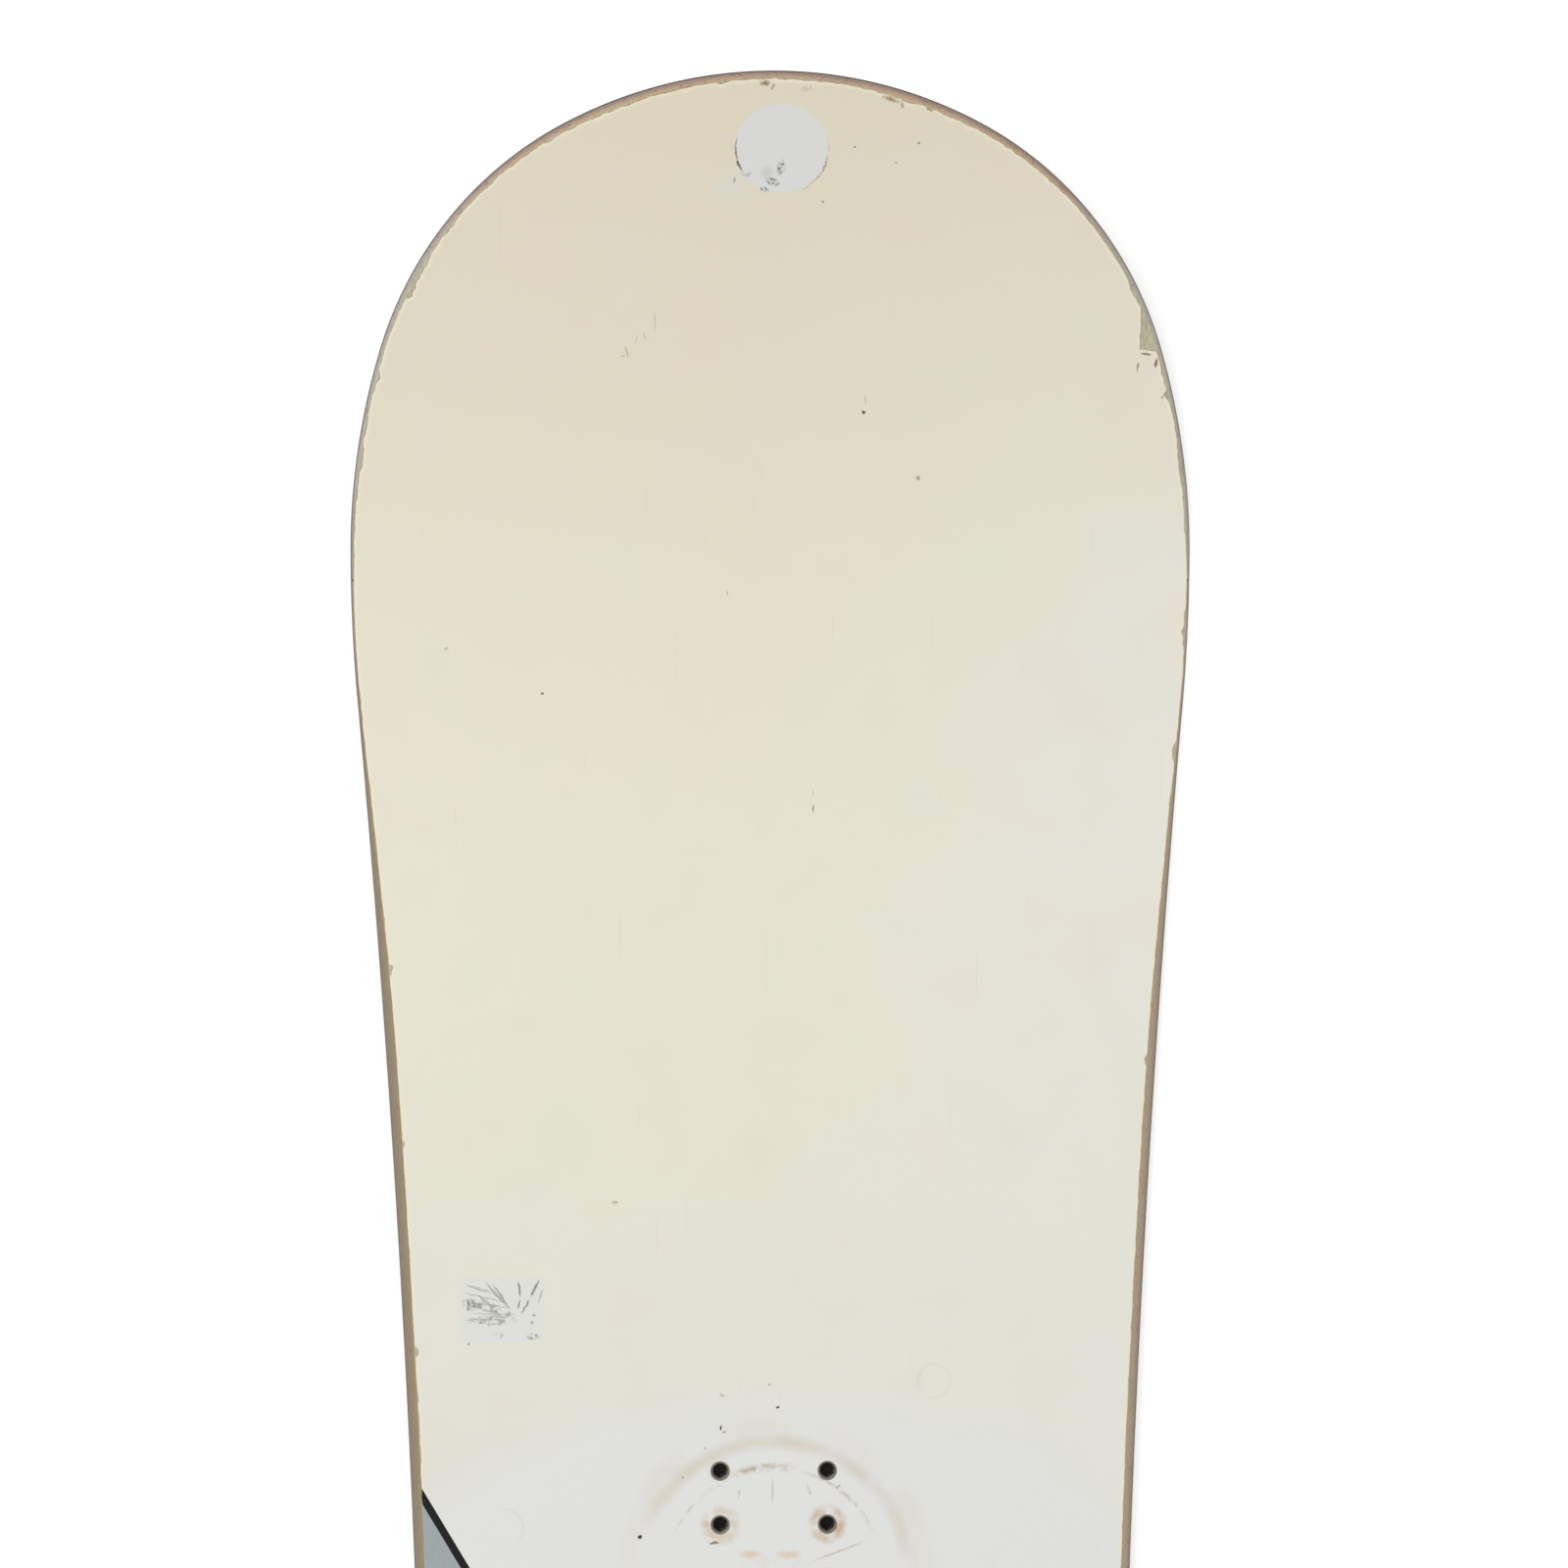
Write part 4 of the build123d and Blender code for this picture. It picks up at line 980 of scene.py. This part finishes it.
def wallMaterial():
    # Milled ABS sidewall: matt tan with long cutter lines, grimy at its foot and rubbed grey at the shoulders
    material, shader, add, place = startMaterial("milled ABS sidewall, grimy", {"IOR": 1.54})
    x, y = add("SeparateXYZ", {0: place}).node.outputs[:2]
    leftRight = add("MapRange", {"From Min": 20.0, "From Max": -20.0, "Value": y})
    colour = mixColours(add, wallLook["left"], wallLook["right"], leftRight)
    blotch = add("TexNoise", {"Scale": 0.04, "Detail": 4.0, "Vector": place})
    ends = add("Math", {"operation": "ABSOLUTE", 0: x})
    endsRough = add("Math", {"operation": "MULTIPLY_ADD", 1: 60.0, 0: blotch, 2: ends})
    coats, endMasks = [], []
    for tint, (low, high) in ((wallLook["shoulders"], wallLook["shouldersFrom"]),
                              (wallLook["ends"], wallLook["endsFrom"])):
        endMasks.append(add("MapRange",
            {"From Min": low, "From Max": high, "To Max": 0.9, "Value": endsRough}))
        coats.append((tint, endMasks[-1]))
    across = add("Attribute", {"attribute_name": "acrossWall"}, "Fac")
    lines = add("VectorMath", {"operation": "MULTIPLY", 1: (0.02, 0.02, 3.0), 0: place})
    cutter = add("TexNoise", {"Scale": 1.0, "Detail": 3.0, "Vector": lines})
    footEdge = add("Math", {"operation": "MULTIPLY_ADD", 1: 0.35, 0: cutter, 2: across})
    topMask = add("MapRange", {"From Min": 0.55, "From Max": 1.1, "To Max": 0.85, "Value": footEdge})
    topOfEnds = add("Math", {"operation": "MULTIPLY", 0: topMask, 1: endMasks[1]})
    notShoulders = add("MapRange", {"From Max": 0.5, "To Min": 0.1, "To Max": 0.15, "Value": endMasks[0]})
    topOfSides = add("Math", {"operation": "MULTIPLY", 0: topMask, 1: notShoulders})
    coats += [(wallLook["top"], topOfSides), (wallLook["endsTop"], topOfEnds)]
    footMask = add("MapRange", {"From Min": 0.7, "From Max": 0.2, "To Max": 0.65, "Value": footEdge})
    rubbed = add("Math", {"operation": "SUBTRACT", 0: endMasks[0], 1: endMasks[1]})
    grimy = add("MapRange", {"To Min": 1.0, "To Max": 0.4, "Value": rubbed})
    coats.append((wallLook["foot"], add("Math", {"operation": "MULTIPLY", 0: footMask, 1: grimy})))
    grime = add("TexNoise", {"Scale": 0.6, "Detail": 5.0, "Roughness": 0.7, "Vector": place})
    coats.append((wallLook["grime"], add("MapRange", {"From Min": 0.54, "From Max": 0.7,
        "To Max": 0.7, "Value": grime})))
    colour = paintOver(add, colour, coats)
    roughness = add("MapRange", {"To Min": 0.5, "To Max": 0.8, "Value": grime})
    relief = add("Math", {"operation": "ADD", 0: cutter, 1: grime})
    joinShader(add, shader, colour, roughness, relief, 0.06)
    return material


plainLooks = {                 # by slot: pattern size in mm along X, Y and Z, roughness range, relief in mm
    "glass_laminate": {
        "name": "glass and epoxy laminate, yellowed", "tints": ("#BFBAA2", "#9A9474"),
        "size": (4.0, 0.9, 3.0), "roughness": (0.35, 0.6), "relief": 0.03, "ior": 1.55},
    "glass_mat": {
        "name": "glass mat in resin", "tints": ("#CFCBB8", "#B3AE96"),
        "size": (1.5, 0.5, 2.0), "roughness": (0.4, 0.6), "relief": 0.03, "ior": 1.55},
    "core_poplar": {
        "name": "planed poplar, long grain", "tints": ("#DCC8A0", "#C7AE82"),
        "size": (60.0, 1.2, 1.6), "roughness": (0.55, 0.75), "relief": 0.04, "ior": 1.45},
    "core_beech": {
        "name": "planed beech, flecked", "tints": ("#C69C70", "#A97E55"),
        "size": (14.0, 0.7, 1.0), "roughness": (0.5, 0.7), "relief": 0.03, "ior": 1.45},
    "damping_rubber": {
        "name": "calendered rubber foil", "tints": ("#1D1D1C", "#2A2928"),
        "size": (1.0, 1.0, 1.0), "roughness": (0.7, 0.9), "relief": 0.02, "ior": 1.52},
    "cap_plastic": {
        "name": "moulded nylon cap", "tints": ("#171615", "#2B2724"),
        "size": (0.8, 0.8, 0.8), "roughness": (0.5, 0.75), "relief": 0.02, "ior": 1.53},
}


def plainMaterial(look):
    # Two tones of one stuff in a pattern of its own size, with roughness and relief from the same pattern
    material, shader, add, place = startMaterial(look["name"], {"IOR": look["ior"]})
    stretched = add("VectorMath", {"operation": "DIVIDE", 1: look["size"], 0: place})
    pattern = add("TexNoise", {"Scale": 1.0, "Detail": 5.0, "Roughness": 0.6, "Vector": stretched})
    blotch = add("TexNoise", {"Scale": 0.03, "Detail": 3.0, "Vector": place})
    share = add("Math", {"operation": "MULTIPLY_ADD", 1: 0.5, 0: blotch, 2: pattern})
    mask = add("MapRange", {"From Min": 0.55, "From Max": 0.95, "Value": share})
    colour = mixColours(add, *look["tints"], mask)
    low, high = look["roughness"]
    roughness = add("MapRange", {"To Min": low, "To Max": high, "Value": pattern})
    joinShader(add, shader, colour, roughness, pattern, look["relief"])
    return material


baseLook = {
    "polyethylene": "#1B1C1E",
    "haze": "#3A3B3D",         # dried wax
    "scratch": "#6E6F70",
    "structure": 1.0,          # mm between stone-ground lines, coarser than the real 0.3 so that they show
}


def baseMaterial():
    # Stone-ground UHMWPE running base: near black and waxy, with straight fine structure along the board,
    # pale dry haze in patches and long scratches at a slant
    material, shader, add, place = startMaterial("stone-ground UHMWPE base, dry", {
        "IOR": 1.51, "Specular IOR Level": 0.4})
    flat = add("VectorMath", {"operation": "MULTIPLY", 1: (1.0, 1.0, 0.0), 0: place})
    haze = add("TexNoise", {"Scale": 0.012, "Detail": 6.0, "Roughness": 0.65, "Vector": flat})
    plastic = add("RGB")
    plastic.default_value = linear(baseLook["polyethylene"])
    hazeMask = add("MapRange", {"From Min": 0.45, "From Max": 0.7, "To Max": 0.5, "Value": haze})
    coats = [(baseLook["haze"], hazeMask)]
    lineStretch = add("VectorMath", {"operation": "MULTIPLY", 1: (0.004, 1 / baseLook["structure"], 0.0),
        0: flat})
    structure = add("TexNoise", {"Scale": 1.0, "Detail": 2.0, "Vector": lineStretch})
    scratchSum = None
    for turn, fine, seed in ((6.0, 0.45, 3.0), (-14.0, 0.35, 8.0), (31.0, 0.25, 5.0)):
        turned = add("Mapping", {"Rotation": (0.0, 0.0, math.radians(turn)), "Scale": (0.006, fine, 0.0),
            "Location": (seed, seed, 0.0), "Vector": flat})
        noise = add("TexNoise", {"Scale": 1.0, "Detail": 2.0, "Vector": turned})
        line = add("MapRange", {"From Min": 0.73, "From Max": 0.76, "To Max": 0.8, "Value": noise})
        coats.append((baseLook["scratch"], line))
        scratchSum = line if scratchSum is None else add("Math",
            {"operation": "ADD", 0: scratchSum, 1: line})
    colour = paintOver(add, plastic, coats)
    roughness = add("MapRange", {"To Min": 0.38, "To Max": 0.62, "Value": haze})
    relief = add("Math", {"operation": "SUBTRACT", 0: structure, 1: scratchSum})
    joinShader(add, shader, colour, roughness, relief, 0.05)
    return material


steelLook = {                  # two greys, how far rust has spread and the grinding lines' size in mm
    "edge": {"tints": ("#9A958C", "#6F6A62"), "rust": 0.02, "grind": (12.0, 12.0, 0.3)},
    "insert": {"tints": ("#A8A297", "#6B645A"), "rust": 0.12, "grind": (0.4, 0.4, 0.4)},
    "rustTint": "#7A4E32",
}


def steelMaterial(name, tints, rust, grind):
    # Ground steel: grey with grinding lines, dulled in patches and rusted in spots
    material, shader, add, place = startMaterial(name, {"Metallic": 1.0})
    stretched = add("VectorMath", {"operation": "DIVIDE", 1: grind, 0: place})
    lines = add("TexNoise", {"Scale": 1.0, "Detail": 3.0, "Vector": stretched})
    patches = add("TexNoise", {"Scale": 0.07, "Detail": 5.0, "Roughness": 0.7, "Vector": place})
    spots = add("TexNoise", {"Scale": 0.5, "Detail": 5.0, "Roughness": 0.75, "Vector": place})
    colour = mixColours(add, *tints, patches)
    rustMask = add("MapRange", {"From Min": 0.72 - rust, "From Max": 0.84 - rust, "To Max": 0.85,
        "Value": spots})
    colour = paintOver(add, colour, [(steelLook["rustTint"], rustMask)])
    roughness = add("MapRange", {"To Min": 0.3, "To Max": 0.62, "Value": patches})
    dry = add("Math", {"operation": "MULTIPLY_ADD", 1: 0.35, "use_clamp": True, 0: rustMask, 2: roughness})
    relief = add("Math", {"operation": "ADD", 0: lines, 1: rustMask})
    joinShader(add, shader, colour, dry, relief, 0.03)
    return material


print("making materials")
looks = {
    "topsheet": topsheetMaterial(*topsheetStretches[0]),
    "sidewall_plastic": wallMaterial(),
    "running_base": baseMaterial(),
    "edge_steel": steelMaterial("ground carbon steel edge, dulled", **steelLook["edge"]),
    "insert_steel": steelMaterial("turned stainless insert, grimy", **steelLook["insert"]),
    **{slot: plainMaterial(look) for slot, look in plainLooks.items()},
}


def setMaterial(thing, slot):
    # The slot's material as the one that the thing wears
    thing.data.materials.clear()
    thing.data.materials.append(looks[slot])


# each new piece: the node it stands for and the record's slot
newPieces = [
    (topsheet, "topsheet", "topsheet"), (laminate, "upper_laminate", "glass_laminate"),
    (baseSkin, "base_sheet", "running_base"),
    *((piece, node, "sidewall_plastic") for node, piece in walls.items()),
    *((piece, f"steel_edge_{name}", "edge_steel") for name, piece in edges.items()),
    *((piece, f"{name}_inserts", "insert_steel") for name, piece in insertPieces.items()),
]
for piece, node, slot in newPieces:
    setMaterial(piece, slot)
    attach(piece, "root")
    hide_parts(node)

# the topsheet's other stretches, face by face
centres = np.empty(3 * len(topsheet.data.polygons))
topsheet.data.polygons.foreach_get("center", centres)
centreX = centres.reshape(-1, 3)[:, 0] / mm
slots = np.zeros(len(centreX), int)
for number, (stretch, low, high) in enumerate(topsheetStretches[1:], 1):
    topsheet.data.materials.append(topsheetMaterial(stretch, low, high))
    slots[(centreX >= low) & (centreX < high)] = number
topsheet.data.polygons.foreach_set("material_index", slots)

# the CAD nodes that stay get their finishes by slot
replaced = {row[1] for row in newPieces}
for part in frame["record"]["subparts"]:
    if part["node"] not in replaced:
        setMaterial(frame["nodes"][part["node"]], part["material_slot"])
print("pieces finished")

# Floor, light and camera
studio = {
    "floorSize": 8.0,
    "floor": "#F7F7F6",
    "fibre": "#F3F3F2",
    "floorGlow": 0.4,          # backlit paper, which keeps shadows faint
    "sky": 0.87,
    "key": 24.0,               # watts of the big softbox
    "keySize": 2.4,
    "keyPlace": (1.4, 1.6, 2.4),
    "keyAim": (0.3, 0.0, 0.0),
    "lens": 122.06,            # mm
    "sensor": 36.0,
    "distance": 2.0,
    "aim": (0.5348, -0.0048),
    "tilt": 2.11,              # degrees that the camera leans over to the board's left
    "roll": -0.086,
}
half = studio["floorSize"] / 2
floorMesh = bpy.data.meshes.new("floor")
corners = [(-half, -half, 0), (half, -half, 0), (half, half, 0), (-half, half, 0)]
floorMesh.from_pydata(corners, [], [(0, 1, 2, 3)])
floor = bpy.data.objects.new("floor", floorMesh)
bpy.context.scene.collection.objects.link(floor)


def floorMaterial():
    # Matt white paper floor, clear from below so that the base can be looked at
    material, shader, add, place = startMaterial("matt white paper", {"Roughness": 0.9})
    fibre = add("TexNoise", {"Scale": 0.4, "Detail": 4.0, "Vector": place})
    colour = mixColours(add, studio["floor"], studio["fibre"], fibre)
    shader.inputs["Emission Strength"].default_value = studio["floorGlow"]
    behind = add("NewGeometry", output="Backfacing")
    clear = add("BsdfTransparent")
    both = add("MixShader", {0: behind, 1: shader.outputs[0], 2: clear})
    output = material.node_tree.nodes["Material Output"]
    for socket, target in ((colour, shader.inputs["Base Color"]), (colour, shader.inputs["Emission Color"]),
                           (both, output.inputs["Surface"])):
        material.node_tree.links.new(socket, target)
    return material


floorMesh.materials.append(floorMaterial())

world = bpy.data.worlds.new("white studio")
world.use_nodes = True
sky = world.node_tree.nodes["Background"].inputs
sky["Color"].default_value, sky["Strength"].default_value = (1.0, 1.0, 1.0, 1.0), studio["sky"]
bpy.context.scene.world = world

keyData = bpy.data.lights.new("softbox", "AREA")
keyData.shape, keyData.size, keyData.energy = "DISK", studio["keySize"], studio["key"]
key = bpy.data.objects.new("softbox", keyData)
key.location = studio["keyPlace"]
bpy.context.scene.collection.objects.link(key)

cameraData = bpy.data.cameras.new("camera")
cameraData.lens, cameraData.sensor_width = studio["lens"], studio["sensor"]
camera = bpy.data.objects.new("camera", cameraData)
bpy.context.scene.collection.objects.link(camera)
bpy.context.scene.camera = camera


def aimAt(thing, place, target, up):
    # Turns a light or camera so that -Z looks at the target and the picture's top is nearest to up
    back = np.array(place) - np.array(target)
    back = back / np.linalg.norm(back)
    side = np.cross(up, back)
    side = side / np.linalg.norm(side)
    top = np.cross(back, side)
    turned = np.eye(4)
    turned[:3, 0], turned[:3, 1], turned[:3, 2], turned[:3, 3] = side, top, back, place
    thing.matrix_world = Matrix(turned.tolist())


tilt = math.radians(studio["tilt"])
target = (studio["aim"][0], studio["aim"][1], 0.0)
place = (target[0], target[1] + studio["distance"] * math.sin(tilt), studio["distance"] * math.cos(tilt))
roll = math.radians(studio["roll"])
aimAt(camera, place, target, (math.cos(roll), math.sin(roll), 0.0))
aimAt(key, studio["keyPlace"], studio["keyAim"], (1.0, 0.0, 0.0))
bpy.context.scene.view_settings.view_transform = "Standard"

print("scene ready")
